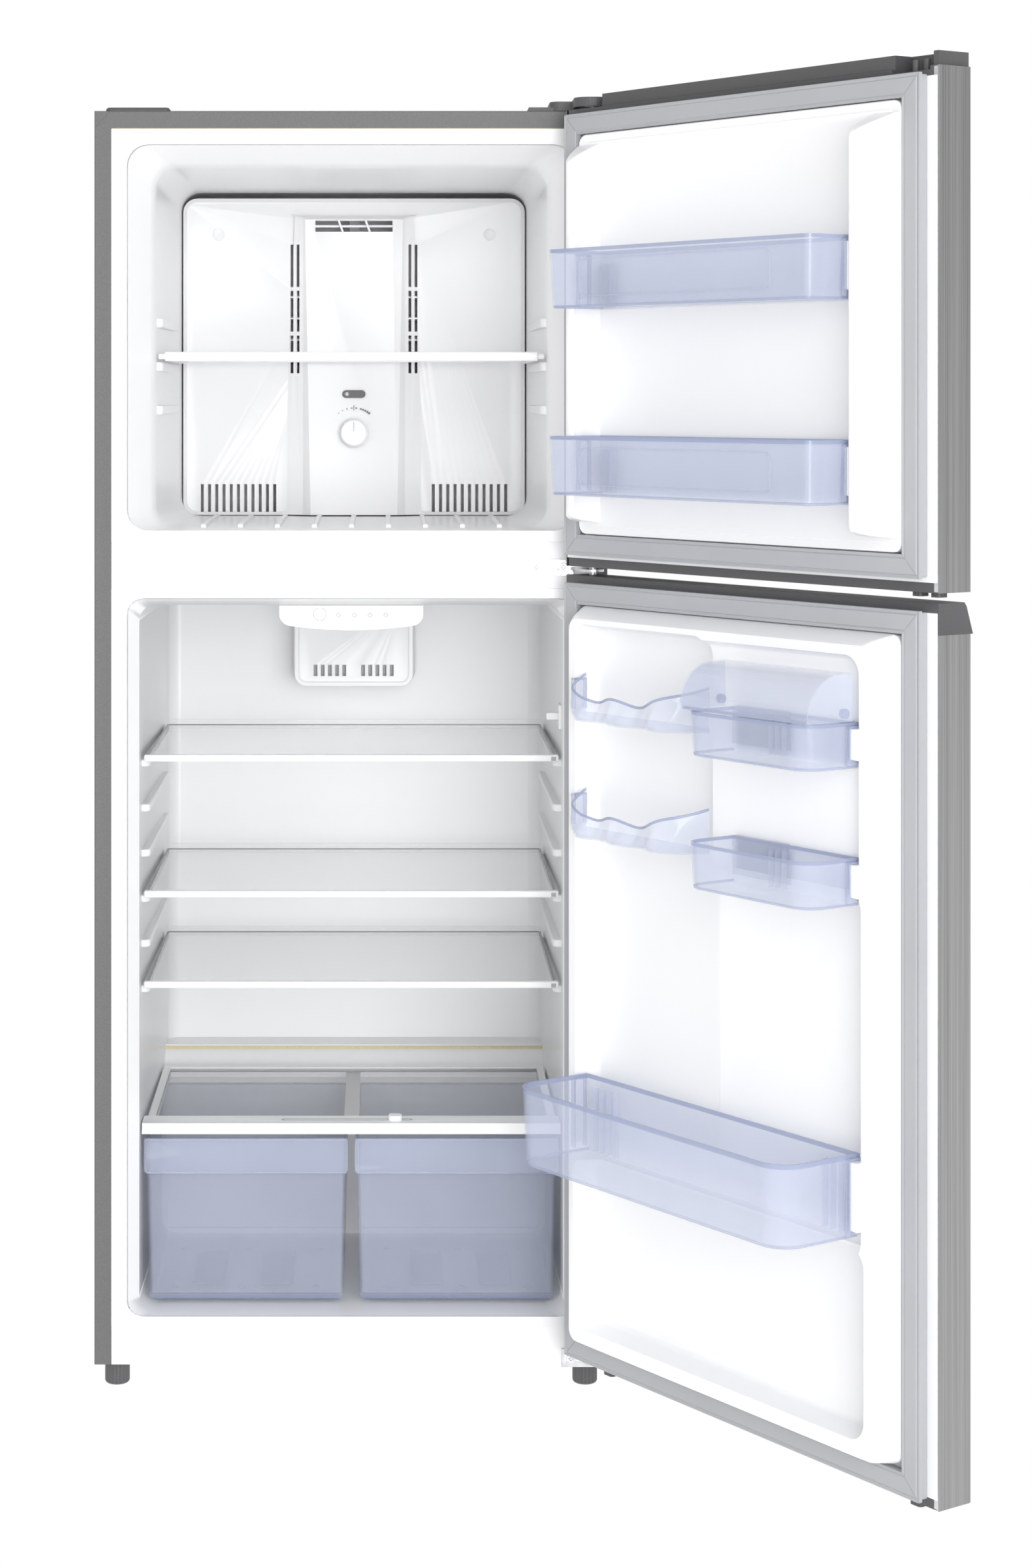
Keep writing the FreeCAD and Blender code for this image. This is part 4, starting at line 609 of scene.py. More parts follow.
def tapered_block(name, outlines):
    """A block whose outline changes with depth: outlines are (depth, x0, x1, z0, z1)."""
    first, last = outlines[0], outlines[-1]
    block = cube(name, (first[1], first[0], first[3]), (first[2], last[0], first[4]))
    for outline in outlines[1:-1]:
        slice_at(block, (0, outline[0], 0), (0, 1, 0))
    for outline in outlines[1:]:
        section(block, *outline)
    return block


def cavity(name, half, z0, z1, sections, corner, back_corner):
    """A compartment's air space: sections are (depth, half width, bottom, top)."""
    depth = sections[-1][0]
    outlines = [(0, -half, half, z0, z1)] + [(y, -h, h, low, high) for y, h, low, high in sections]
    space = tapered_block(name, outlines)
    round_edges(space, lambda a, b: abs(a.y - b.y) > 5 * MM, corner, 6)
    round_edges(space, lambda a, b: min(a.y, b.y) > depth - 0.1 * MM, back_corner, 5)
    return space


def liner_from(space, low, high, name):
    """A thin moulded tub round the given air space, with a flange as wide as the liner's box."""
    plate = cube(name, (low.x, 0, low.z), (high.x, 2 * MM, high.z))
    mouth = copy_of(space, "mouth")
    choose(mouth, faces=lambda c, n: c.y < 0.05 * MM)
    bpy.ops.mesh.extrude_region_move(TRANSFORM_OT_translate={"value": (0, -10 * MM, 0)})
    done()
    cut(plate, mouth)
    delete_faces(space, lambda c, n: c.y < 0.05 * MM)
    space.data.flip_normals()
    wall(space, 2 * MM)
    smooth(space)
    return join(plate, space)


def wall_rail(name, length, depth, height):
    """One moulded rail with a rounded front end, lying on the left wall."""
    rail = cube(name, (0, 0, 0), (depth + 3 * MM, length, height))
    round_edges(rail, lambda a, b: along_z(a, b) and min(a.x, b.x) > depth and max(a.y, b.y) < MM,
                depth * 0.8, 5)
    round_edges(rail, at(2, height, 0.01 * MM), 1.5 * MM, 3)
    round_edges(rail, at(2, 0, 0.01 * MM), 2.5 * MM, 3)
    return smooth(rail)


def rails_on_walls(rail, levels, front, wall_front):
    """The rail copied to both walls at every level."""
    rails = []
    for level in levels:
        left = copy_of(rail, "rail", (-wall_front - 3 * MM, front, level))
        rails += [left, copy_of(left, "rail", flip=True)]
    bpy.data.objects.remove(rail)
    return rails


def fridge_tub(sizes):
    """The fresh food compartment, with its compressor step and shelf rails."""
    low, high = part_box("fridge_liner")
    half = high.x - sizes.mouth_margin
    z0, z1 = low.z + 11 * MM, high.z - 11 * MM
    back = high.y - 2 * MM
    side = half - 13 * MM
    space = cavity("fresh_food_space", half, z0, z1, [
        (20 * MM, side, z0 + 1 * MM, z1 - 9 * MM), (back, side - 5 * MM, z0 + 3 * MM, z1 - 12 * MM),
    ], 18 * MM, 16 * MM)
    step = cube("step", (-0.3, STEP_FRONT, 0.03), (0.3, 0.6, STEP_TOP))
    for y, z, width, segments in ((0.35, 0.3, STEP_SLOPE, 1), (0.4, 0.2, 14 * MM, 4)):
        round_edges(step, lambda a, b: along_x(a, b) and max(a.y, b.y) < y and min(a.z, b.z) > z,
                    width, segments)
    cut(space, step)
    liner = liner_from(space, low, high, "fresh_food_liner")
    shelf_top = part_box("fridge_shelf_upper")[1].z - SHELF_RIM
    first = shelf_top - 5.5 * MM - 9 * MM
    levels = [first - RAIL_PITCH * i for i in range(6)]
    rail = wall_rail("shelf_rail", 0.32, 10 * MM, 9 * MM)
    rails = rails_on_walls(rail, levels, 52 * MM, side - 0.4 * MM)
    ledge = cube("ledge", (-side + 4 * MM, LEDGE_FRONT, 0.3165), (side - 4 * MM, back, 0.3182))
    join(liner, ledge, *rails)
    dress(liner, "liner")
    finish_piece(liner, "cabinet", "liner", "fridge_liner")


def freezer_tub(sizes):
    """The freezer compartment with its sloping mouth, rails and floor ribs."""
    low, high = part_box("freezer_liner")
    half = high.x - sizes.mouth_margin
    z0, z1 = low.z + 13 * MM, high.z - 18 * MM
    back = high.y - 2 * MM
    side = half - 30 * MM
    space = cavity("freezer_space", half, z0, z1, [
        (50 * MM, side, z0 + 1 * MM, z1 - 24 * MM), (back, side - 10 * MM, z0 + 2 * MM, z1 - 32 * MM),
    ], 24 * MM, 20 * MM)
    round_edges(space, at(1, 50 * MM, 0.2 * MM), 12 * MM, 5)
    liner = liner_from(space, low, high, "freezer_tub")
    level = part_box("freezer_shelf")[1].z - 23 * MM
    rail = wall_rail("freezer_rail", 0.3, 7 * MM, 11 * MM)
    parts = rails_on_walls(rail, [level - 52 * MM, level, level + 52 * MM], 66 * MM, side - 0.6 * MM)
    count = 9
    for i in range(count):
        x = -0.176 + 0.352 * i / (count - 1)
        rib = cube("floor_rib", (x - 3 * MM, 62 * MM, z0 - 1 * MM), (x + 3 * MM, 0.36, z0 + 6 * MM))
        round_edges(rib, lambda a, b: min(a.z, b.z) > z0, 2.4 * MM, 3)
        parts.append(smooth(rib))
    join(liner, *parts)
    dress(liner, "liner")
    finish_piece(liner, "cabinet", "liner", "freezer_liner")


# ---------------------------------------------------------------- freezer fittings


def slot_cutters(places, size):
    """Boxes for a set of vent slots, joined into one cutter."""
    boxes = []
    for place in places:
        centre, extent = Vector(place), Vector(size)
        boxes.append(cube("slot", centre - extent / 2, centre + extent / 2))
    return join(*boxes)


def freezer_rear_panel():
    low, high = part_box("freezer_back_panel")
    face = high.y - 2 * MM
    plate = cube("freezer_rear_panel", (low.x, face, low.z), (high.x, high.y, high.z))
    round_edges(plate, front_to_back, 18 * MM, 6)
    step_face(plate, FRONT, (5 * MM, -1.2 * MM))
    duct = cube("duct", (-92 * MM, face - 8 * MM, low.z + 0.5 * MM), (92 * MM, face + MM, 1.4))
    resize_face(duct, FRONT, (78 / 92, 1, 0.98), (0, 0, low.z))
    choose(duct, faces=FRONT)
    bpy.ops.mesh.extrude_region_move(TRANSFORM_OT_translate={"value": (0, -11 * MM, 0)})
    bpy.ops.transform.resize(value=(56 / 78, 1, 0.985), center_override=(0, face, low.z))
    done()
    round_edges(duct, lambda a, b: abs(a.y - b.y) > MM and min(a.z, b.z) > 1.3, 14 * MM, 5)
    unite(plate, duct)
    front = low.y
    cut(plate, slot_cutters([(0, front, 1.3847), (0, front, 1.3762)], (0.1, 0.06, 6 * MM)))
    lower = [(s * (103 + 9.4 * i) * MM, face, 1.028) for s in (-1, 1) for i in range(11)]
    cut(plate, slot_cutters(lower, (4 * MM, 0.02, 36 * MM)))
    for z, height in ((1.3295, 55), (1.2705, 53), (1.2145, 49)):
        sides = [(s * x * MM, face, z) for s in (-1, 1) for x in (72.5, 80.5)]
        cut(plate, slot_cutters(sides, (3.6 * MM, 0.05, height * MM)))
    soften(plate, 1.1 * MM, 28)
    dress(plate, "liner")
    bars = []
    for x in (-17 * MM, 18 * MM):
        bar = cube("vent_divider", (x - 1.3 * MM, front + 0.3 * MM, 1.3725),
                   (x + 1.3 * MM, front + 4 * MM, 1.3885))
        bar.data.transform(Matrix.Translation((x, 0, 1.38)) @ Matrix.Rotation(-0.35, 4, "Y")
                           @ Matrix.Translation((-x, 0, -1.38)))
        bars.append(soft(bar, "liner", 0.3 * MM))
    join(plate, *bars)
    finish_piece(plate, "cabinet", "liner", "freezer_back_panel")


def knob_scale():
    """The printed scale round the knob: a broken arc that grows bolder towards the right."""
    low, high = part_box("temperature_knob")
    centre = (low + high) / 2
    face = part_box("freezer_back_panel")[0].y
    marks = []
    last, unbroken = 14, 10
    for i in range(last + 1):
        if i % 2 and i <= unbroken:
            continue
        angle = math.radians(128 - 76 * i / last)
        size = 0.5 + 2.2 * (i / last) ** 1.5
        mark = cube("mark", (-1.1 * MM, -0.12 * MM, -size / 2 * MM), (1.1 * MM, 0.12 * MM, size / 2 * MM))
        spot = centre + Vector((32 * math.cos(angle), 0, 32 * math.sin(angle))) * MM
        marks.append(turned(mark, (spot.x, face, spot.z), math.pi / 2 - angle))
    middle = cube("mark", (-0.4 * MM, -0.12 * MM, -4 * MM), (0.4 * MM, 0.12 * MM, 2.5 * MM))
    middle.data.transform(Matrix.Translation((0, face, centre.z + 33 * MM)))
    scale = dress(join(*marks, middle), "ink")
    scale.name = "knob_scale"
    pill = cube("pill", (-15 * MM, face - 0.15 * MM, centre.z + 45 * MM),
                (15 * MM, face + 0.1 * MM, centre.z + 55 * MM))
    round_edges(pill, lambda a, b: abs(a.y - b.y) > 0.1 * MM, 4.9 * MM, 8)
    join(scale, dress(pill, "ink"))
    flake = []
    for i in range(3):
        arm = cube("arm", (-3 * MM, -0.1 * MM, -0.35 * MM), (3 * MM, 0.1 * MM, 0.35 * MM))
        turned(arm, (-9 * MM, face - 0.2 * MM, centre.z + 50 * MM), math.radians(60 * i))
        flake.append(dress(arm, "white"))
    join(scale, *flake)
    finish_piece(scale, "cabinet", "cap")


def knob():
    low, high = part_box("temperature_knob")
    centre = (low + high) / 2
    radius = (high.x - low.x) / 2
    front = low.y
    disc = rod("dial", (0, front + 14.5 * MM, centre.z), radius, 4 * MM, "Y", 64)
    grip = rod("grip", (0, front + 7.5 * MM, centre.z), radius - 1.5 * MM, 14 * MM, "Y", 64)
    round_edges(grip, lambda a, b: max(a.y, b.y) < front + MM, 2.2 * MM, 4)
    step_face(grip, FLAT_FRONT, (2.5 * MM, 0.4 * MM))
    for part in (disc, grip):
        soft(part, "white", 0.4 * MM)
    line = cube("line", (-0.4 * MM, front + 0.55 * MM, centre.z + 2 * MM),
                (0.4 * MM, front + 1.2 * MM, centre.z + radius - 4 * MM))
    dress(line, "grey")
    dial = join(disc, grip, line)
    finish_piece(dial, "temperature_knob_body", "white", "temperature_knob")


def freezer_shelf():
    """A clear plate in a white frame, resting on the rails by its side pegs."""
    low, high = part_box("freezer_shelf")
    half = high.x - 8 * MM
    bar = cube("freezer_shelf_frame", (-half, low.y, high.z - 11 * MM), (half, low.y + 12 * MM, high.z))
    rear = cube("rear", (-half, high.y - 10 * MM, high.z - 9 * MM), (half, high.y, high.z - MM))
    parts = [rear]
    for s in (-1, 1):
        x0, x1 = sorted((s * (half - 7 * MM), s * half))
        parts.append(cube("side", (x0, low.y + 6 * MM, high.z - 11 * MM),
                          (x1, high.y - 5 * MM, high.z - 2 * MM)))
        peg_at = (s * (half + 2.5 * MM), low.y + 6 * MM, high.z - 5.5 * MM)
        parts.append(rod("peg", peg_at, 3.4 * MM, 10 * MM, "X", 24))
    for part in parts:
        soften(part, 0.8 * MM)
    soften(bar, 2.2 * MM, segments=4)
    frame_piece = dress(join(bar, *parts), "white")
    plate = cube("freezer_shelf_plate", (-half + 5 * MM, low.y + 9 * MM, high.z - 7.5 * MM),
                 (half - 5 * MM, high.y - 7 * MM, high.z - 4 * MM))
    soft(plate, "glass", 0.5 * MM)
    finish_piece(frame_piece, "freezer_shelf_body", "white", "freezer_shelf")
    finish_piece(plate, "freezer_shelf_body", "glass")


# ---------------------------------------------------------------- fridge fittings


def control_box():
    """The control housing under the ceiling, with its button and four lamps."""
    low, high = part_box("control_housing")
    half = high.x
    box = cube("control_box", (-half, low.y, low.z), (half, high.y, high.z - MM))
    for i in range(1, 8):
        slice_at(box, (-half + 2 * half * i / 8, 0, 0), (1, 0, 0))
    mesh = bmesh.new()
    mesh.from_mesh(box.data)
    for vertex in mesh.verts:
        if vertex.co.z < low.z + MM:
            vertex.co.z += 7 * MM * (vertex.co.x / half) ** 2
    mesh.to_mesh(box.data)
    mesh.free()
    round_edges(box, lambda a, b: along_y(a, b) and min(abs(a.x), abs(b.x)) > half - MM
                and max(a.z, b.z) < low.z + 8 * MM, 12 * MM, 6)
    step_face(box, facing(1, -1, 0.95), (3.2 * MM, 0), (0.6 * MM, 0.7 * MM))
    soften(box, 1.6 * MM, 40, 3)
    dress(box, "white")
    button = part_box("set_button")
    centre = (button[0] + button[1]) / 2
    parts = []
    for x in (-15, 3.67, 22.33, 41):
        place = Vector((x * MM, low.y + 0.7 * MM, centre.z - MM))
        parts.append(dress(smooth(ring("lamp_ring", place, 2.4 * MM, 0.3 * MM)), "grey"))
        lens = rod("lens", place, 2.0 * MM, 1.0 * MM, "Y", 24)
        parts.append(soft(lens, "lamp", 0.3 * MM))
    place = (centre.x, low.y + 0.6 * MM, centre.z)
    parts.append(dress(smooth(ring("button_ring", place, 7.6 * MM, 0.35 * MM)), "grey"))
    join(box, *parts)
    finish_piece(box, "cabinet", "white", "control_housing")
    cap = rod("button_cap", (centre.x, button[0].y + 3 * MM, centre.z), 6 * MM, 6 * MM, "Y", 48)
    step_face(cap, FLAT_FRONT, (1.5 * MM, 0.3 * MM))
    soft(cap, "white", 0.5 * MM, segments=3)
    finish_piece(cap, "set_button_body", "white", "set_button")


def duct_cover():
    low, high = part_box("air_duct_cover")
    cover = cube("duct_cover", low, high)
    round_edges(cover, front_to_back, 16 * MM, 6)
    resize_face(cover, FRONT, (0.95, 1, 0.97), (0, low.y, high.z))
    step_face(cover, FLAT_FRONT, (5 * MM, 0), (1 * MM, 1.2 * MM))
    slots = [((start + 9.2 * i) * MM, low.y, low.z + 24 * MM) for start in (-49, 12) for i in range(5)]
    cut(cover, slot_cutters(slots, (4.4 * MM, 0.02, 14 * MM)))
    soften(cover, 2 * MM, 40, 3)
    dress(cover, "liner")
    # Painted shade: the faces 6 to 12 mm behind the front near the middle, the floors of the vent slots, are
    # painted grey.
    tint(cover, "grey", lambda c, n: c.y > low.y + 6 * MM and abs(c.x) < 0.06 and c.y < low.y + 12 * MM)
    finish_piece(cover, "cabinet", "white", "air_duct_cover")


def glass_shelf(node, body):
    """A glass plate with a white front bar, dark side trims and a low rear lip."""
    low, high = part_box(node)
    top = high.z - SHELF_RIM
    half = high.x
    inner = half - 2 * MM
    bar = cube(node + "_bar", (-half, low.y, top - 7 * MM), (half, low.y + 9 * MM, top + MM))
    soft(bar, "white", 1.8 * MM, segments=4)
    clip = cube("clip", (half - 9 * MM, low.y - 0.2 * MM, top - 6 * MM),
                (half - 3 * MM, low.y + 2 * MM, top - MM))
    soft(clip, "grey", 0.4 * MM)
    rear = cube("rear", (-inner + 3 * MM, high.y - 5 * MM, top - 5 * MM),
                (inner - 3 * MM, high.y, top + SHELF_RIM))
    soft(rear, "glass", 1.2 * MM, segments=3)
    join(bar, clip)
    finish_piece(bar, body, "white", node)
    plate = cube(node + "_glass", (-inner + 2 * MM, low.y + 6 * MM, top - 4 * MM),
                 (inner - 2 * MM, high.y - 4 * MM, top))
    soft(plate, "glass", 0.4 * MM)
    trims = [rear]
    for s in (-1, 1):
        x0, x1 = sorted((s * (inner - 4.2 * MM), s * (inner - 1.4 * MM)))
        trim = cube("trim", (x0, low.y + 8 * MM, top - 5 * MM), (x1, high.y - 5 * MM, top + 0.6 * MM))
        trims.append(soft(trim, "glass_edge", 0.4 * MM))
    line = cube("trim", (-inner + 4 * MM, high.y - 6.4 * MM, top - 0.4 * MM),
                (inner - 4 * MM, high.y - 5.2 * MM, top + 0.8 * MM))
    trims.append(dress(line, "glass_edge"))
    join(plate, *trims)
    finish_piece(plate, body, "glass")


def crisper_cover():
    softened("crisper_cover_frame", "white", "cabinet", "white", 0.9 * MM)
    low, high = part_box("crisper_cover_glass")
    plate = cube("crisper_glass", low, high)
    soft(plate, "glass", 0.4 * MM)
    finish_piece(plate, "cabinet", "glass", "crisper_cover_glass")
    frame_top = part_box("crisper_cover_frame")[1].z
    border = cube("slot_border", (-83 * MM, 48 * MM, frame_top - 0.2 * MM),
                  (73 * MM, 56 * MM, frame_top + 0.25 * MM))
    round_edges(border, lambda a, b: along_z(a, b), 3.9 * MM, 6)
    hole = cube("hole", (-80 * MM, 50 * MM, frame_top - 2 * MM), (70 * MM, 54 * MM, frame_top + 2 * MM))
    cut(border, hole)
    dress(border, "grey")
    finish_piece(border, "cabinet", "white")
    low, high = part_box("humidity_slider")
    slider = cube("humidity_knob", (low.x, low.y, high.z - 7.5 * MM), high)
    round_edges(slider, lambda a, b: along_z(a, b), 5 * MM, 6)
    soften(slider, 1.4 * MM, 40, 3)
    foot = cube("foot", (low.x + 3.2 * MM, low.y + 6.4 * MM, low.z),
                (high.x - 3.2 * MM, high.y - 6.4 * MM, high.z - 5 * MM))
    join(slider, soften(foot, 0.3 * MM))
    dress(slider, "white")
    finish_piece(slider, "humidity_slider_body", "white", "humidity_slider")


def crisper_drawer(side, node):
    low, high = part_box(node)
    x0, x1 = (low.x, high.x) if side > 0 else (-high.x, -low.x)
    taper = 4 * MM
    tub = cube(node + "_tub", (x0 + 2 * MM, low.y + 4 * MM, low.z), (x1 - 2 * MM, high.y, high.z - 2 * MM))
    resize_face(tub, DOWN, ((x1 - x0 - 2 * taper) / (x1 - x0), 0.99, 1), ((x0 + x1) / 2, high.y, low.z))
    round_edges(tub, lambda a, b: max(a.z, b.z) < low.z + MM, 13 * MM, 6)
    round_edges(tub, lambda a, b: abs(a.z - b.z) > 0.1, 6 * MM, 4)
    delete_faces(tub, FLAT_TOP)
    wall(tub, 2.4 * MM)
    dress(smooth(tub), "clear")
    # Painted shade: the front of the tub's foot gets the darker edge finish.
    tint(tub, "edge", lambda c, n: c.z < low.z + 9 * MM and (c.y < low.y + 22 * MM) and n.z < 0.1)
    lip = cube("lip", (x0, low.y, high.z - 42 * MM), (x1, low.y + 5 * MM, high.z))
    round_edges(lip, front_to_back, 5 * MM, 4)
    step_face(lip, FRONT, (2 * MM, 0.7 * MM))
    soft(lip, "clear", 0.8 * MM, segments=3)
    # Painted shade: the top and bottom faces of the lip get the darker edge finish.
    tint(lip, "edge", lambda c, n: n.z > 0.5 or (n.z < -0.5))
    parts = [lip]
    rim = cube("rim", (x0, low.y + 1 * MM, high.z - 3 * MM), (x1, high.y, high.z))
    choose(rim, faces=UP)
    bpy.ops.mesh.inset(thickness=6 * MM)
    bpy.ops.mesh.delete(type="FACE")
    done()
    delete_faces(rim, DOWN)
    wall(rim, 1.5 * MM)
    parts.append(soft(rim, "clear", 0.4 * MM))
    floor = low.z + 2.4 * MM
    for share in (0.36, 0.70):
        x = x0 + (x1 - x0) * share
        pad = cube("pad", (x - 19 * MM, 0.11, floor - 0.2 * MM), (x + 19 * MM, 0.25, floor + 2 * MM))
        round_edges(pad, lambda a, b: along_z(a, b), 3 * MM, 3)
        parts.append(soft(pad, "clear", 0.7 * MM))
    # The floor dots get the darker edge finish: painted shade.
    for share in (0.16, 0.53, 0.86):
        for y in (0.1, 0.26):
            dot = rod("dot", (x0 + (x1 - x0) * share, y, floor), 4 * MM, 1.4 * MM, "Z", 20)
            parts.append(soft(dot, "edge", 0.3 * MM))
    drawer = join(tub, *parts)
    if side < 0:
        mirror(drawer)
    finish_piece(drawer, node + "_body", "clear", node)


# ---------------------------------------------------------------- doors


def door_skin(door, node, lift):
    """The steel wrap: front and both sides, with a rounded front edge."""
    low, high = door.box(node)
    side_top = high.z - lift
    skin = cube(node + "_wrap", (low.x, low.y, low.z), (high.x, high.y, side_top))
    delete_faces(skin, lambda c, n: n.y > 0.9 or abs(n.z) > 0.9)
    round_edges(skin, lambda a, b: along_z(a, b) and max(a.y, b.y) < low.y + MM, 6 * MM, 5)
    wall(skin, 0.9 * MM)
    dress(smooth(skin), "steel")
    if lift:
        strip = cube("strip", (low.x + 6 * MM, low.y, side_top - 0.5 * MM),
                     (high.x - 50 * MM, low.y + 0.9 * MM, high.z))
        join(skin, soft(strip, "steel", 0.3 * MM))
    lip = cube("edge_lip", (low.x + 0.3 * MM, high.y - 1.2 * MM, low.z + MM),
               (low.x + 7 * MM, high.y - 0.2 * MM, side_top - MM))
    join(skin, soft(lip, "zinc", 0.3 * MM))
    door.hang(skin, "steel", node)


def pocket(x0, x1, z0, z1, floor, reach, slope, corner):
    """The air in one recess of a door liner, wider towards its mouth."""
    space = cube("pocket", (x0, floor, z0), (x1, reach, z1))
    centre = ((x0 + x1) / 2, reach, (z0 + z1) / 2)
    scale = ((x1 - x0 + 2 * slope) / (x1 - x0), 1, (z1 - z0 + 2 * slope) / (z1 - z0))
    resize_face(space, BACK, scale, centre)
    round_edges(space, front_to_back, corner, 6)
    round_edges(space, lambda a, b: max(a.y, b.y) < floor + 0.1 * MM, 5 * MM, 4)
    return space


def liner_flange(door, liner_node, plate_top):
    """The flat border of a door liner, which the seal is pressed into."""
    low, high = door.box(liner_node)
    flange = cube("flange", (low.x, low.y, low.z), (high.x, plate_top, high.z))
    return soft(flange, "liner", 0.4 * MM)


def lug_blocks(places):
    """The blocks that the bins hook over: places are (x0, x1, z0, z1)."""
    blocks = []
    for x0, x1, z0, z1 in places:
        block = cube("lug", (min(x0, x1), LUG_FRONT, z0), (max(x0, x1), LUG_BACK, z1))
        blocks.append(soft(block, "liner", 1.2 * MM, segments=3))
    return blocks


def freezer_door_liner():
    """A flat moulded panel with a round-ended upright pillar at each side."""
    door = FREEZER_DOOR
    low, high = door.box("freezer_door_liner")
    seal_low, seal_high = door.box("freezer_door_gasket")
    edge = seal_high.x - SEAL_REACH
    z0, z1 = seal_low.z + SEAL_REACH, seal_high.z - SEAL_REACH
    base = low.y
    plate = cube("freezer_door_panel", (-edge, base, z0), (edge, -2 * MM, z1))
    round_edges(plate, front_to_back, 12 * MM, 5)
    soft(plate, "liner", 1.5 * MM, 40, 3)
    field = cube("field", (-edge + 9 * MM, base, z0 + 9 * MM), (edge - 9 * MM, -0.8 * MM, z1 - 9 * MM))
    round_edges(field, front_to_back, 12 * MM, 5)
    parts = [soft(field, "liner", 1.1 * MM, 40, 3)]
    crest = high.y
    for side in (-1, 1):
        outlines = []
        for y, lean, drop, inset in (
            (base, -3 * MM, 0, 0), (0, -2 * MM, 0, 2 * MM), (crest - 14 * MM, 0, 0, 5 * MM),
            (crest - 4 * MM, 1.5 * MM, 1.5 * MM, 8 * MM), (crest, 4 * MM, 4 * MM, 14 * MM),
        ):
            outer = FREEZER_PILLAR_OUTER - 2 * MM - 0.6 * max(0, y) - drop
            top = min(z1 - 10 * MM - inset, FREEZER_CEILING - 8 * MM - 0.48 * max(0, y) - drop)
            x0, x1 = sorted((side * (FREEZER_PILLAR_INNER + lean), side * outer))
            outlines.append((y, x0, x1, z0 + 12 * MM + inset, top))
        pillar = tapered_block("pillar", outlines)
        round_edges(pillar, front_to_back, 9 * MM, 6)
        parts.append(soft(pillar, "liner", 3 * MM, 25, 4))
    bins = [door.box(n) for n in ("freezer_bin_upper", "freezer_bin_lower")]
    places = [(s * 215 * MM, s * 224 * MM, b[0].z + 10 * MM, b[1].z - 6.5 * MM)
              for b in bins for s in (-1, 1)]
    parts.append(liner_flange(door, "freezer_door_liner", -15 * MM))
    join(plate, *parts, *lug_blocks(places))
    door.hang(plate, "liner", "freezer_door_liner")


def fridge_door_liner():
    """A deep moulded panel with recesses behind the racks, bins and bottles."""
    door = FRIDGE_DOOR
    base = door.box("fridge_door_liner")[0].y
    seal_low, seal_high = door.box("fridge_door_gasket")
    z0, z1 = seal_low.z + SEAL_REACH, seal_high.z - SEAL_REACH
    crest = 26 * MM
    reach = crest + 20 * MM
    deep, shallow = -4 * MM, 14 * MM
    foot = (-DOOR_BLOCK_HALF, DOOR_BLOCK_HALF, DOOR_BLOCK_BOTTOM, z1)
    outlines = [(base, *foot), (-2 * MM, *foot),
                (18 * MM, -248.3 * MM, 248.3 * MM, 86.9 * MM, 913.9 * MM),
                (crest, -243 * MM, 243 * MM, 91 * MM, 909 * MM)]
    block = tapered_block("fridge_door_panel", outlines)
    round_edges(block, front_to_back, 12 * MM, 6)
    inner = 226 * MM
    lower_top = 296 * MM
    for x0, x1, bottom, top, floor, slope in (
        (-inner, inner, lower_top - 2 * MM, 655 * MM, deep, 10 * MM),
        (12 * MM, inner, lower_top + 40 * MM, z1 - 24 * MM, deep, 10 * MM),
        (-inner, 34 * MM, lower_top + 200 * MM, z1 - 25 * MM, shallow, 8 * MM),
        (-231 * MM, 231 * MM, z0 + 30 * MM, lower_top, deep, 8 * MM),
    ):
        cut(block, pocket(x0, x1, bottom, top, floor, reach, slope, 20 * MM))
    soften(block, 3.2 * MM, 32, 4)
    dress(block, "liner")
    places = []
    for node, s, bottom, top in (
        ("dairy_bin", -1, 10 * MM, 6.5 * MM), ("middle_bin", -1, 10 * MM, 6.5 * MM),
        ("bottom_bin", -1, 10 * MM, 6.5 * MM), ("bottom_bin", 1, 10 * MM, 6.5 * MM),
        ("can_rack_upper", 1, 14 * MM, 15 * MM), ("can_rack_lower", 1, 14 * MM, 15 * MM),
    ):
        b = door.box(node)
        places.append((s * DOOR_LUG_INNER, s * DOOR_LUG_OUTER, b[0].z + bottom, b[1].z - top))
    join(block, liner_flange(door, "fridge_door_liner", -15 * MM), *lug_blocks(places))
    door.hang(block, "liner", "fridge_door_liner")


def door_seal(door, node):
    """A magnetic seal: a flat face with a fold each side, mitred at its corners."""
    low, high = door.box(node)
    width = SEAL_WIDTH
    foot = cube(node + "_seal", (low.x + 1.5 * MM, low.y, low.z + 1.5 * MM),
                (high.x - 1.5 * MM, high.y - 4 * MM, high.z - 1.5 * MM))
    hole = cube("hole", (low.x + width - 1.5 * MM, low.y - 0.01, low.z + width - 1.5 * MM),
                (high.x - width + 1.5 * MM, high.y + 0.01, high.z - width + 1.5 * MM))
    cut(foot, hole)
    face = cube("face", (low.x, high.y - 5 * MM, low.z), (high.x, high.y, high.z))
    cut(face, cube("hole", (low.x + width, low.y - 0.01, low.z + width),
                   (high.x - width, high.y + 0.01, high.z - width)))
    step_face(face, BACK, (3.5 * MM, -1.2 * MM), (1 * MM, 1.0 * MM))
    mitres = []
    corners = ((low.x, low.z, -45), (high.x, low.z, 45), (low.x, high.z, 45), (high.x, high.z, -45))
    for x, z, turn in corners:
        groove = cube("mitre", (-0.05, -0.8 * MM, -0.3 * MM), (0.05, 0.4 * MM, 0.3 * MM))
        mitres.append(turned(groove, (x, high.y, z), math.radians(turn)))
    cut(face, *mitres)
    soften(face, 0.7 * MM, 40, 2)
    soften(foot, 1.2 * MM, 40, 2)
    seal = dress(join(face, foot), "gasket")
    door.hang(seal, "gasket", node)


# ---------------------------------------------------------------- door bins


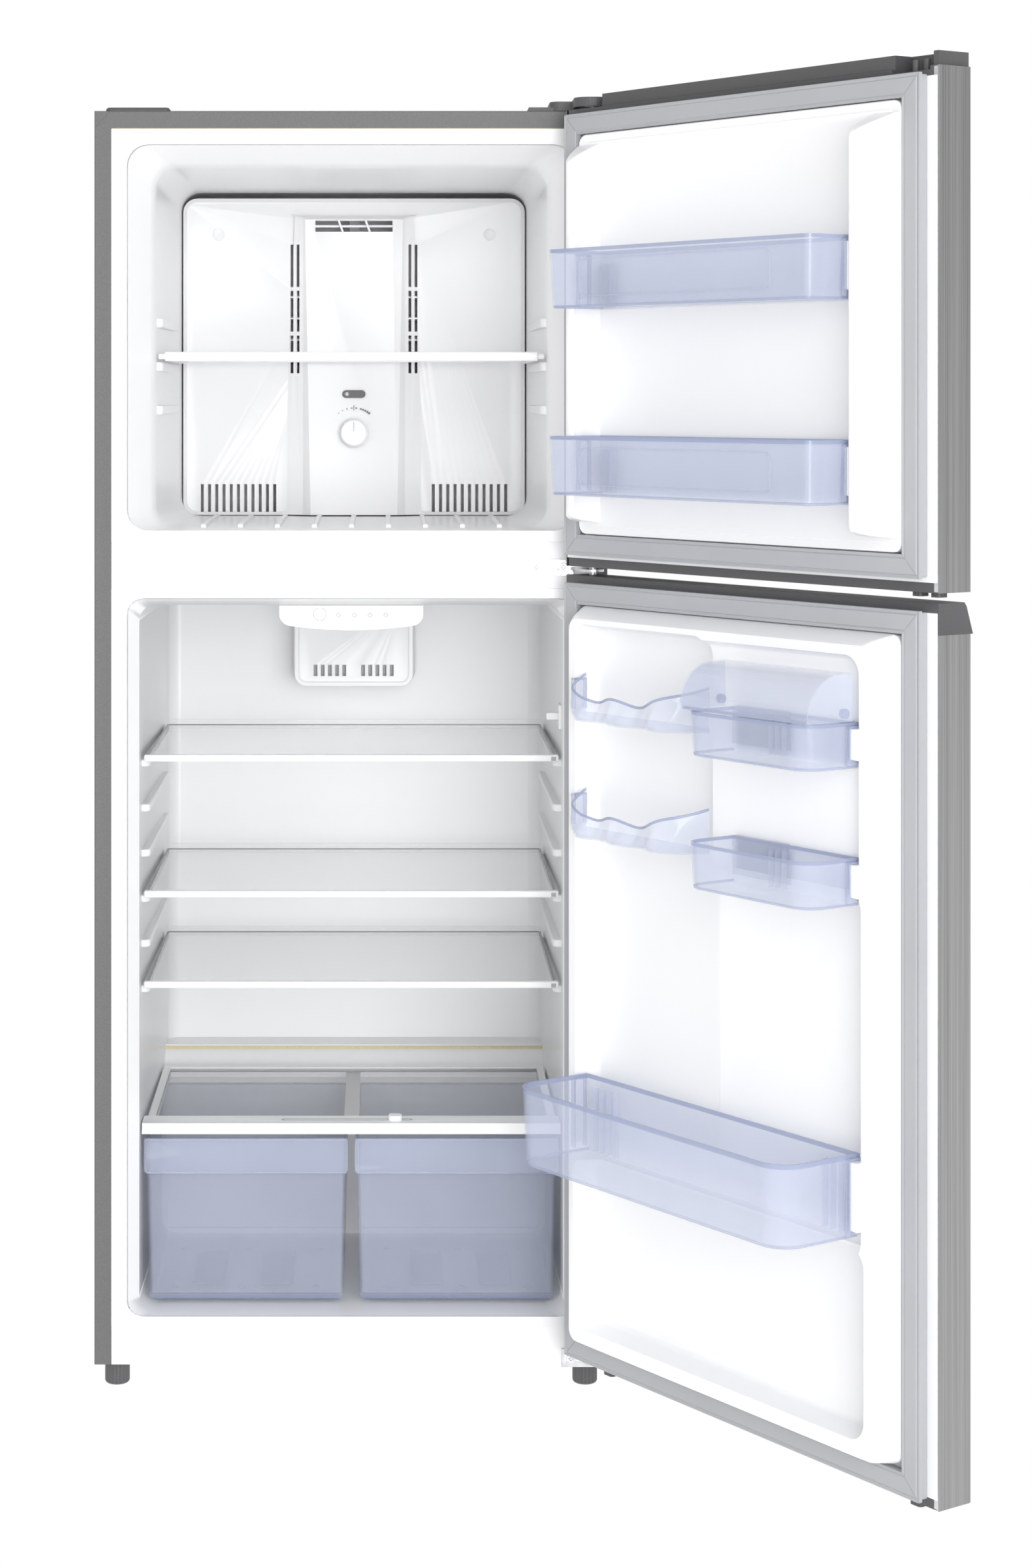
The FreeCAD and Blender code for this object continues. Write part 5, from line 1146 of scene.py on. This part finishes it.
def bin_shell(name, low, high, radius, lip, thickness):
    """An open clear bin: round front corners, a thick rim and a foot line, both painted darker as painted
    shade.
    """
    outer = cube(name, low, high)
    resize_face(outer, DOWN, (0.985, 0.97, 1), ((low.x + high.x) / 2, low.y, low.z))
    round_edges(outer, lambda a, b: along_z(a, b) and min(a.y, b.y) > high.y - 6 * MM, radius, 8)
    slice_at(outer, (0, 0, high.z - lip), (0, 0, 1))
    round_edges(outer, lambda a, b: max(a.z, b.z) < low.z + 0.1 * MM
                and max(a.y, b.y) > low.y + MM, 3 * MM, 3)
    delete_faces(outer, FLAT_TOP)
    wall(outer, thickness)
    choose(outer, faces=lambda c, n: c.z > high.z - 0.1 * MM)
    bpy.ops.mesh.extrude_region_shrink_fatten(TRANSFORM_OT_shrink_fatten={"value": 0.0})
    done()
    smooth(outer)
    dress(outer, "clear")
    # Painted shade: the rim band and the foot line get the darker edge finish.
    tint(outer, "edge", lambda c, n: c.z > high.z - lip or (c.z < low.z + 4 * MM and abs(n.z) < 0.9))
    return outer


def bracket(side, wall_x, y, z0, z1):
    """Two fins and a cap at a bin's end, which hook over a lug."""
    x0, x1 = sorted((side * (wall_x - 1 * MM), side * (wall_x + 5 * MM)))
    y0, y1 = y - 3 * MM, y + 15 * MM
    parts = [
        cube("fin", (x0, y0, z0), (x1, y0 + 2 * MM, z1)),
        cube("fin", (x0, y1 - 2 * MM, z0), (x1, y1, z1)),
        cube("cap", (x0, y0, z1 - 2 * MM), (x1, y1, z1)),
    ]
    for part in parts:
        soft(part, "clear", 0.4 * MM)
        # Painted shade: the side faces of the fins and cap get the darker edge finish.
        tint(part, "edge", lambda c, n: abs(n.x) > 0.7)
    return join(*parts)


def face_frame(low, high, inset, depth, side):
    """A raised border line on a bin's front face."""
    line = cube("line", (low.x + inset, side - depth, low.z + 12 * MM),
                (high.x - inset, side + depth, high.z - 12 * MM))
    round_edges(line, lambda a, b: along_y(a, b), 9 * MM, 6)
    hole = cube("hole", (low.x + inset + 1.1 * MM, side - 0.01, low.z + 13.1 * MM),
                (high.x - inset - 1.1 * MM, side + 0.01, high.z - 13.1 * MM))
    round_edges(hole, lambda a, b: along_y(a, b), 8 * MM, 6)
    cut(line, hole)
    return dress(line, "clear")


def inner_ribs(x, low, depth, z0, z1, count, pitch):
    """A row of thin upright ribs on the inner back of a bin."""
    ribs = []
    for i in range(count):
        rib = cube("rib", (x + i * pitch, low.y + 2 * MM, z0), (x + i * pitch + 1.4 * MM, low.y + depth, z1))
        ribs.append(soft(rib, "clear", 0.3 * MM))
    return ribs


def freezer_bin(node):
    door = FREEZER_DOOR
    low, high = door.box(node)
    half = high.x - 5 * MM
    base, top = low.z, high.z
    inner_low, inner_high = Vector((-half, low.y, base)), Vector((half, high.y - MM, top))
    tub = bin_shell(node + "_shell", inner_low, inner_high, 8 * MM, 4 * MM, 2 * MM)
    parts = [bracket(s, half, 20 * MM, base + 4 * MM, top - 4 * MM) for s in (-1, 1)]
    parts.append(face_frame(inner_low, inner_high, 58 * MM, 1.2 * MM, inner_high.y - 0.5 * MM))
    for start in (half - 30 * MM, -half + 6 * MM):
        parts += inner_ribs(start, low, 12 * MM, base + 2 * MM, top - 14 * MM, 3, 8 * MM)
    join(tub, *parts)
    door.hang(tub, "clear", node, body=node + "_body")


def column_bin(node):
    """A bin on the wide column, with a back plate at its inner end."""
    door = FRIDGE_DOOR
    low, high = door.box(node)
    base, top = low.z, high.z - MM
    x0 = low.x + 5 * MM
    shell_low = Vector((x0, low.y, base))
    shell_high = Vector((high.x - MM, high.y - MM, top))
    tub = bin_shell(node + "_shell", shell_low, shell_high, 26 * MM, 3.5 * MM, 2 * MM)
    parts = [bracket(-1, -x0, 21 * MM, base + 4 * MM, top - 3 * MM)]
    plate = cube("plate", (high.x - 92 * MM, low.y, base + 8 * MM),
                 (high.x - 2 * MM, low.y + 2 * MM, high.z))
    round_edges(plate, lambda a, b: along_y(a, b) and min(a.z, b.z) > base + 10 * MM, 5 * MM, 4)
    soft(plate, "clear", 0.4 * MM)
    # Painted shade: the plate's top edge gets the darker edge finish.
    parts.append(tint(plate, "edge", lambda c, n: n.z > 0.5))
    parts += inner_ribs(high.x - 88 * MM, low, 9 * MM, base + 3 * MM, top - 6 * MM, 3, 10 * MM)
    join(tub, *parts)
    door.hang(tub, "clear", node, body=node + "_body")


def bottle_bin(node):
    door = FRIDGE_DOOR
    low, high = door.box(node)
    half = high.x - 5 * MM
    base, top = low.z, high.z
    shell_low, shell_high = Vector((-half, low.y, base)), Vector((half, high.y - MM, top))
    tub = bin_shell(node + "_shell", shell_low, shell_high, 30 * MM, 5 * MM, 2.2 * MM)
    parts = [bracket(s, half, 21 * MM, base + 4 * MM, top - 3 * MM) for s in (-1, 1)]
    for start in (half - 60 * MM, -half + 8 * MM):
        parts += inner_ribs(start, low, 10 * MM, base + 3 * MM, top - 12 * MM, 4, 12 * MM)
    join(tub, *parts)
    door.hang(tub, "clear", node, body=node + "_body")


def dairy_hood(node):
    """A clear quarter-round hood with rounded ends."""
    door = FRIDGE_DOOR
    low, high = door.box(node)
    hood = cube(node + "_hood", low, high)
    round_edges(hood, lambda a, b: along_x(a, b) and min(a.y, b.y) > high.y - MM
                and min(a.z, b.z) > high.z - MM, (high.z - low.z) * 0.92, 12)
    round_edges(hood, lambda a, b: along_z(a, b) and min(a.y, b.y) > high.y - MM, 8 * MM, 4)
    delete_faces(hood, lambda c, n: n.z < -0.9 or n.y < -0.9)
    wall(hood, 1.8 * MM)
    soften(hood, 4 * MM, 45, 4)
    dress(hood, "clear")
    lip = cube("lip", (low.x + 4 * MM, high.y - 4 * MM, low.z),
               (high.x - 4 * MM, high.y - MM, low.z + 3 * MM))
    # Painted shade: the lip and the bosses get the darker edge finish.
    parts = [soft(lip, "edge", 0.6 * MM)]
    for x in (low.x + 4 * MM, high.x - 4 * MM):
        boss = rod("boss", (x, low.y + 8 * MM, low.z + 8 * MM), 5 * MM, 6 * MM, "X", 28)
        parts.append(soft(boss, "edge", 0.6 * MM))
    join(hood, *parts)
    door.hang(hood, "clear", node, body=node + "_body")


def can_rack(node):
    """A wavy cradle for cans: fluted front, high round wings at its ends."""
    door = FRIDGE_DOOR
    low, high = door.box(node)
    x0, x1 = low.x + MM, high.x - 5 * MM
    y0, y1 = low.y + MM, high.y - 2 * MM
    height = high.z - low.z - MM
    columns, rows = 96, 26
    only(None)
    bpy.ops.mesh.primitive_grid_add(x_subdivisions=columns, y_subdivisions=rows, size=1)
    rack = named(node + "_cradle")
    lobes = 3

    def profile(u):
        """The height of the rim and the depth of the front, part way along the rack."""
        wave = math.cos(2 * math.pi * (u * lobes - 0.5))
        end = abs(2 * u - 1)
        rim = height * (0.50 + 0.06 * wave + 0.44 * max(0.0, (end - 0.52) / 0.48) ** 1.5)
        return rim, (y1 - y0) * (0.86 + 0.08 * wave) * min(1.0, (1.02 - end ** 6))

    for vertex in rack.data.vertices:
        u, v = vertex.co.x + 0.5, vertex.co.y + 0.5
        x = x0 + (x1 - x0) * u
        rim, bulge = profile(u)
        if v < 0.45:
            share = v / 0.45
            y = y0 + bulge * 0.9 * share
            z = low.z + 1.5 * MM + 4 * MM * (1 - share) ** 2
        else:
            share = (v - 0.45) / 0.55
            flute = 1.6 * MM * math.sin(2 * math.pi * (u * 9 + share * 0.9)) * math.sin(math.pi * share)
            lean = min(1.0, share * 4)
            y = y0 + bulge * (0.9 + 0.1 * lean) + flute
            z = low.z + 1.5 * MM + (rim - 2 * MM) * share ** 1.1
        vertex.co = (x, y, z)
    wall(rack, 1.8 * MM, 0.0)
    smooth(rack, 50)
    dress(rack, "clear")
    top_line = bpy.data.curves.new("rim_line", "CURVE")
    top_line.dimensions = "3D"
    top_line.bevel_depth = 1.5 * MM
    top_line.bevel_resolution = 3
    spline = top_line.splines.new("POLY")
    steps = 72
    spline.points.add(steps)
    for i, point in enumerate(spline.points):
        u = i / steps
        rim, bulge = profile(u)
        point.co = (x0 + (x1 - x0) * u, y0 + bulge, low.z + rim, 1)
    holder = bpy.data.objects.new("rim", top_line)
    bpy.context.collection.objects.link(holder)
    only(holder)
    bpy.ops.object.convert(target="MESH")
    # Painted shade: the rim line gets the darker edge finish.
    rim_piece = dress(smooth(bpy.context.active_object), "edge")
    parts = [rim_piece, bracket(1, x1, 21 * MM, low.z + 10 * MM, high.z - 12 * MM)]
    join(rack, *parts)
    door.hang(rack, "clear", node, body=node + "_body")


# ---------------------------------------------------------------- stage


def stage(looks):
    """A glowing white floor and backdrop, soft lights and the camera."""
    f = Finish("backdrop_paper")
    f.shade(Base_Color=(0, 0, 0, 1), Roughness=1.0, Specular_IOR_Level=0.0,
            Emission_Color=(1, 1, 1, 1), Emission_Strength=1.0)
    for name, place, turn in (("floor", (0, 0, 0), 0), ("backdrop", (0, 15, 0), math.pi / 2)):
        only(None)
        bpy.ops.mesh.primitive_plane_add(size=30, location=place, rotation=(turn, 0, 0))
        sheet = named(name)
        sheet.data.materials.append(f.material)
    world = bpy.data.worlds.new("studio")
    bpy.context.scene.world = world
    world.use_nodes = True
    sky = world.node_tree.nodes["Background"]
    sky.inputs["Color"].default_value = (1, 1, 1, 1)
    sky.inputs["Strength"].default_value = looks.sky
    for name, place, size, power in (
        ("key", (0.9, -4.4, 1.5), 2.4, looks.key),
        ("fill", (-2.6, -3.2, 2.4), 2.0, looks.fill),
        ("low", (0.6, -3.9, 0.5), 1.6, looks.low),
    ):
        light = bpy.data.lights.new(name, "AREA")
        light.size = size
        light.energy = power
        lamp = bpy.data.objects.new(name, light)
        bpy.context.collection.objects.link(lamp)
        lamp.location = place
        aim = Vector(LIGHTS_AIM) - Vector(place)
        lamp.rotation_euler = aim.to_track_quat("-Z", "Y").to_euler()
    view = bpy.context.scene.view_settings
    view.view_transform = "Standard"
    view.look = "None"
    camera_data = bpy.data.cameras.new("camera")
    camera_data.lens = LENS_MM
    camera_data.sensor_width = SENSOR_MM
    camera_data.shift_x, camera_data.shift_y = CAMERA_SHIFT
    camera = bpy.data.objects.new("camera", camera_data)
    camera.location = CAMERA_AT
    camera.rotation_euler = (math.pi / 2, 0, 0)
    bpy.context.collection.objects.link(camera)
    bpy.context.scene.camera = camera


# ---------------------------------------------------------------- the add-on


def length(name, description, value):
    return FloatProperty(name=name, description=description, default=value, unit="LENGTH")


def colour(name, description, value):
    return FloatVectorProperty(name=name, description=description, subtype="COLOR", default=value)


def power(name, description, value):
    return FloatProperty(name=name, description=description, default=value, unit="POWER")


class FridgeSizes(bpy.types.PropertyGroup):
    fold_radius: length("Fold radius", "Rounding of the cabinet sheet's front fold", 1.5 * MM)
    frame_width: length("Frame width", "Width of the painted frame round the front", 20 * MM)
    mouth_margin: length("Mouth margin", "Flange beside each opening", 18 * MM)
    cover_edge: length("Cover edge", "Rounding of small covers and hinges", 0.6 * MM)


class FridgeLooks(bpy.types.PropertyGroup):
    liner: colour("Liner", "Colour of the moulded liners", (0.92, 0.922, 0.928))
    trim: colour("Trim", "Colour of white trim", (0.92, 0.922, 0.928))
    shell: colour("Shell", "Colour of the cabinet paint", (0.13, 0.13, 0.132))
    cap: colour("Caps", "Colour of the door caps", (0.085, 0.086, 0.088))
    foot: colour("Feet", "Colour of the feet", (0.1, 0.1, 0.103))
    steel: colour("Steel", "Colour of the door skins", (0.40, 0.40, 0.40))
    zinc: colour("Zinc", "Colour of plated hinges", (0.72, 0.73, 0.74))
    seal: colour("Seal", "Colour of the door seals", (0.42, 0.43, 0.45))
    clear: colour("Clear plastic", "Tint of the bins", (0.64, 0.69, 0.85))
    # Painted shade: the darker tint painted on the rims, feet and edges of the clear bins.
    clear_edge_shade: colour("Clear edge", "Tint of rims and feet of the bins", (0.38, 0.43, 0.60))
    clear_alpha: FloatProperty(
        name="Clear opacity", description="How much of the light the bins stop",
        default=0.26, subtype="FACTOR")
    sky: FloatProperty(name="Sky", description="Brightness of the surroundings", default=0.7)
    key: power("Key light", "Power of the large light at the right", 92.0)
    fill: power("Fill light", "Power of the light at the left", 8.0)
    low: power("Low light", "Power of the light near the floor", 25.0)


class Maker:
    """What every operator of the add-on shares."""

    bl_options = {"REGISTER", "UNDO"}

    def execute(self, context):
        if not FINISHES:
            make_finishes(context.scene.fridge_looks)
        self.make(context.scene.fridge_sizes, context.scene.fridge_looks)
        return {"FINISHED"}


class FRIDGE_OT_stage(Maker, bpy.types.Operator):
    """Adds the floor, the lights and the camera"""
    bl_idname = "fridge.stage"
    bl_label = "Stage"

    def make(self, sizes, looks):
        stage(looks)


class FRIDGE_OT_cabinet(Maker, bpy.types.Operator):
    """Adds the outer sheet, the front strips and the rear sheet"""
    bl_idname = "fridge.cabinet"
    bl_label = "Cabinet"

    def make(self, sizes, looks):
        cabinet_wrap(sizes)
        front_panels()
        rear_sheet()


class FRIDGE_OT_liners(Maker, bpy.types.Operator):
    """Adds the moulded tubs of both compartments"""
    bl_idname = "fridge.liners"
    bl_label = "Compartment liners"

    def make(self, sizes, looks):
        fridge_tub(sizes)
        freezer_tub(sizes)


class FRIDGE_OT_freezer_fittings(Maker, bpy.types.Operator):
    """Adds the freezer's rear panel, knob, scale and shelf"""
    bl_idname = "fridge.freezer_fittings"
    bl_label = "Freezer fittings"

    def make(self, sizes, looks):
        freezer_rear_panel()
        knob_scale()
        knob()
        freezer_shelf()


class FRIDGE_OT_controls(Maker, bpy.types.Operator):
    """Adds the control housing, the duct cover and the door switch"""
    bl_idname = "fridge.controls"
    bl_label = "Controls and duct"

    def make(self, sizes, looks):
        control_box()
        duct_cover()
        softened("door_switch_housing", "white", "cabinet", "white", 0.5 * MM)
        softened("door_switch_plunger", "white", "door_switch_plunger_body", "white", 0.5 * MM)


class FRIDGE_OT_shelves(Maker, bpy.types.Operator):
    """Adds the three glass shelves"""
    bl_idname = "fridge.shelves"
    bl_label = "Glass shelves"

    def make(self, sizes, looks):
        for level in ("upper", "middle", "lower"):
            node = "fridge_shelf_" + level
            glass_shelf(node, node + "_body")


class FRIDGE_OT_crisper(Maker, bpy.types.Operator):
    """Adds the crisper cover, its slider and both drawers"""
    bl_idname = "fridge.crisper"
    bl_label = "Crisper"

    def make(self, sizes, looks):
        crisper_cover()
        crisper_drawer(-1, "crisper_drawer_left")
        crisper_drawer(1, "crisper_drawer_right")


class FRIDGE_OT_hardware(Maker, bpy.types.Operator):
    """Adds the hinges, their covers, the screws, plugs, feet and base"""
    bl_idname = "fridge.hardware"
    bl_label = "Hinges, caps and feet"

    def make(self, sizes, looks):
        edge = sizes.cover_edge
        for node in ("top_hinge", "middle_hinge", "bottom_hinge", "hinge_screws"):
            softened(node, "zinc", "cabinet", "zinc", edge / 2)
        softened("hole_plugs", "white", "cabinet", "white", edge)
        for node in ("top_hinge_cover", "top_blank_cap"):
            softened(node, "cap", "cabinet", "cap", 2 * edge)
        for side in ("left", "right"):
            node = "levelling_foot_" + side
            softened(node, "foot", node + "_body", "foot", edge / 2)
        softened("base_tray", "tray", "cabinet", "zinc", edge)


class FRIDGE_OT_machinery(Maker, bpy.types.Operator):
    """Dresses the pieces of the cooling circuit and its fan"""
    bl_idname = "fridge.machinery"
    bl_label = "Machinery"

    def make(self, sizes, looks):
        dresses = {
            "insulation_foam": "foam", "evaporator": "alu", "evaporator_fan_motor": "black",
            "evaporator_fan": "white", "freezer_door_foam": "foam", "fridge_door_foam": "foam",
            "condenser_coil": "black",
        }
        for node, look in dresses.items():
            dress(NODES[node], look)
        softened("compressor", "black", "cabinet", "black", sizes.cover_edge)
        softened("drain_pan", "frosted", "cabinet", "white", sizes.cover_edge)
        softened("power_inlet", "cap", "cabinet", "cap", sizes.cover_edge)


class FRIDGE_OT_door_skins(Maker, bpy.types.Operator):
    """Adds the steel skins and dark caps of both doors"""
    bl_idname = "fridge.door_skins"
    bl_label = "Door skins and caps"

    def make(self, sizes, looks):
        door_skin(FREEZER_DOOR, "freezer_door_skin", 12 * MM)
        door_skin(FRIDGE_DOOR, "fridge_door_skin", 0)
        for body in ("freezer_door", "fridge_door"):
            for end in ("top", "bottom"):
                softened(f"{body}_{end}_cap", "cap", body, "cap", sizes.cover_edge)


class FRIDGE_OT_door_liners(Maker, bpy.types.Operator):
    """Adds the moulded liners and the seals of both doors"""
    bl_idname = "fridge.door_liners"
    bl_label = "Door liners and seals"

    def make(self, sizes, looks):
        freezer_door_liner()
        fridge_door_liner()
        door_seal(FREEZER_DOOR, "freezer_door_gasket")
        door_seal(FRIDGE_DOOR, "fridge_door_gasket")


class FRIDGE_OT_freezer_bins(Maker, bpy.types.Operator):
    """Adds the two bins on the freezer door"""
    bl_idname = "fridge.freezer_bins"
    bl_label = "Freezer bins"

    def make(self, sizes, looks):
        freezer_bin("freezer_bin_upper")
        freezer_bin("freezer_bin_lower")


class FRIDGE_OT_fridge_bins(Maker, bpy.types.Operator):
    """Adds the dairy, middle and bottle bins and the can racks"""
    bl_idname = "fridge.fridge_bins"
    bl_label = "Fridge bins"

    def make(self, sizes, looks):
        column_bin("dairy_bin")
        dairy_hood("dairy_cover")
        column_bin("middle_bin")
        bottle_bin("bottom_bin")
        can_rack("can_rack_upper")
        can_rack("can_rack_lower")


OPERATORS = (
    FRIDGE_OT_stage, FRIDGE_OT_cabinet, FRIDGE_OT_liners, FRIDGE_OT_freezer_fittings, FRIDGE_OT_controls,
    FRIDGE_OT_shelves, FRIDGE_OT_crisper, FRIDGE_OT_hardware, FRIDGE_OT_machinery, FRIDGE_OT_door_skins,
    FRIDGE_OT_door_liners, FRIDGE_OT_freezer_bins, FRIDGE_OT_fridge_bins,
)


class FRIDGE_PT_panel(bpy.types.Panel):
    """Lists the refrigerator's pieces, sizes and colours"""
    bl_idname = "FRIDGE_PT_panel"
    bl_label = "Refrigerator"
    bl_space_type = "VIEW_3D"
    bl_region_type = "UI"
    bl_category = "Refrigerator"

    def draw(self, context):
        for group in (context.scene.fridge_sizes, context.scene.fridge_looks):
            for key in group.__annotations__:
                self.layout.prop(group, key)
        for operator in OPERATORS:
            self.layout.operator(operator.bl_idname)


CLASSES = (FridgeSizes, FridgeLooks) + OPERATORS + (FRIDGE_PT_panel,)


def register():
    for each in CLASSES:
        bpy.utils.register_class(each)
    bpy.types.Scene.fridge_sizes = bpy.props.PointerProperty(type=FridgeSizes)
    bpy.types.Scene.fridge_looks = bpy.props.PointerProperty(type=FridgeLooks)


def unregister():
    del bpy.types.Scene.fridge_looks
    del bpy.types.Scene.fridge_sizes
    for each in reversed(CLASSES):
        bpy.utils.unregister_class(each)


def main():
    register()
    for operator in OPERATORS:
        group, name = operator.bl_idname.split(".")
        getattr(getattr(bpy.ops, group), name)()
    only(None)


if __name__ == "__main__":
    main()
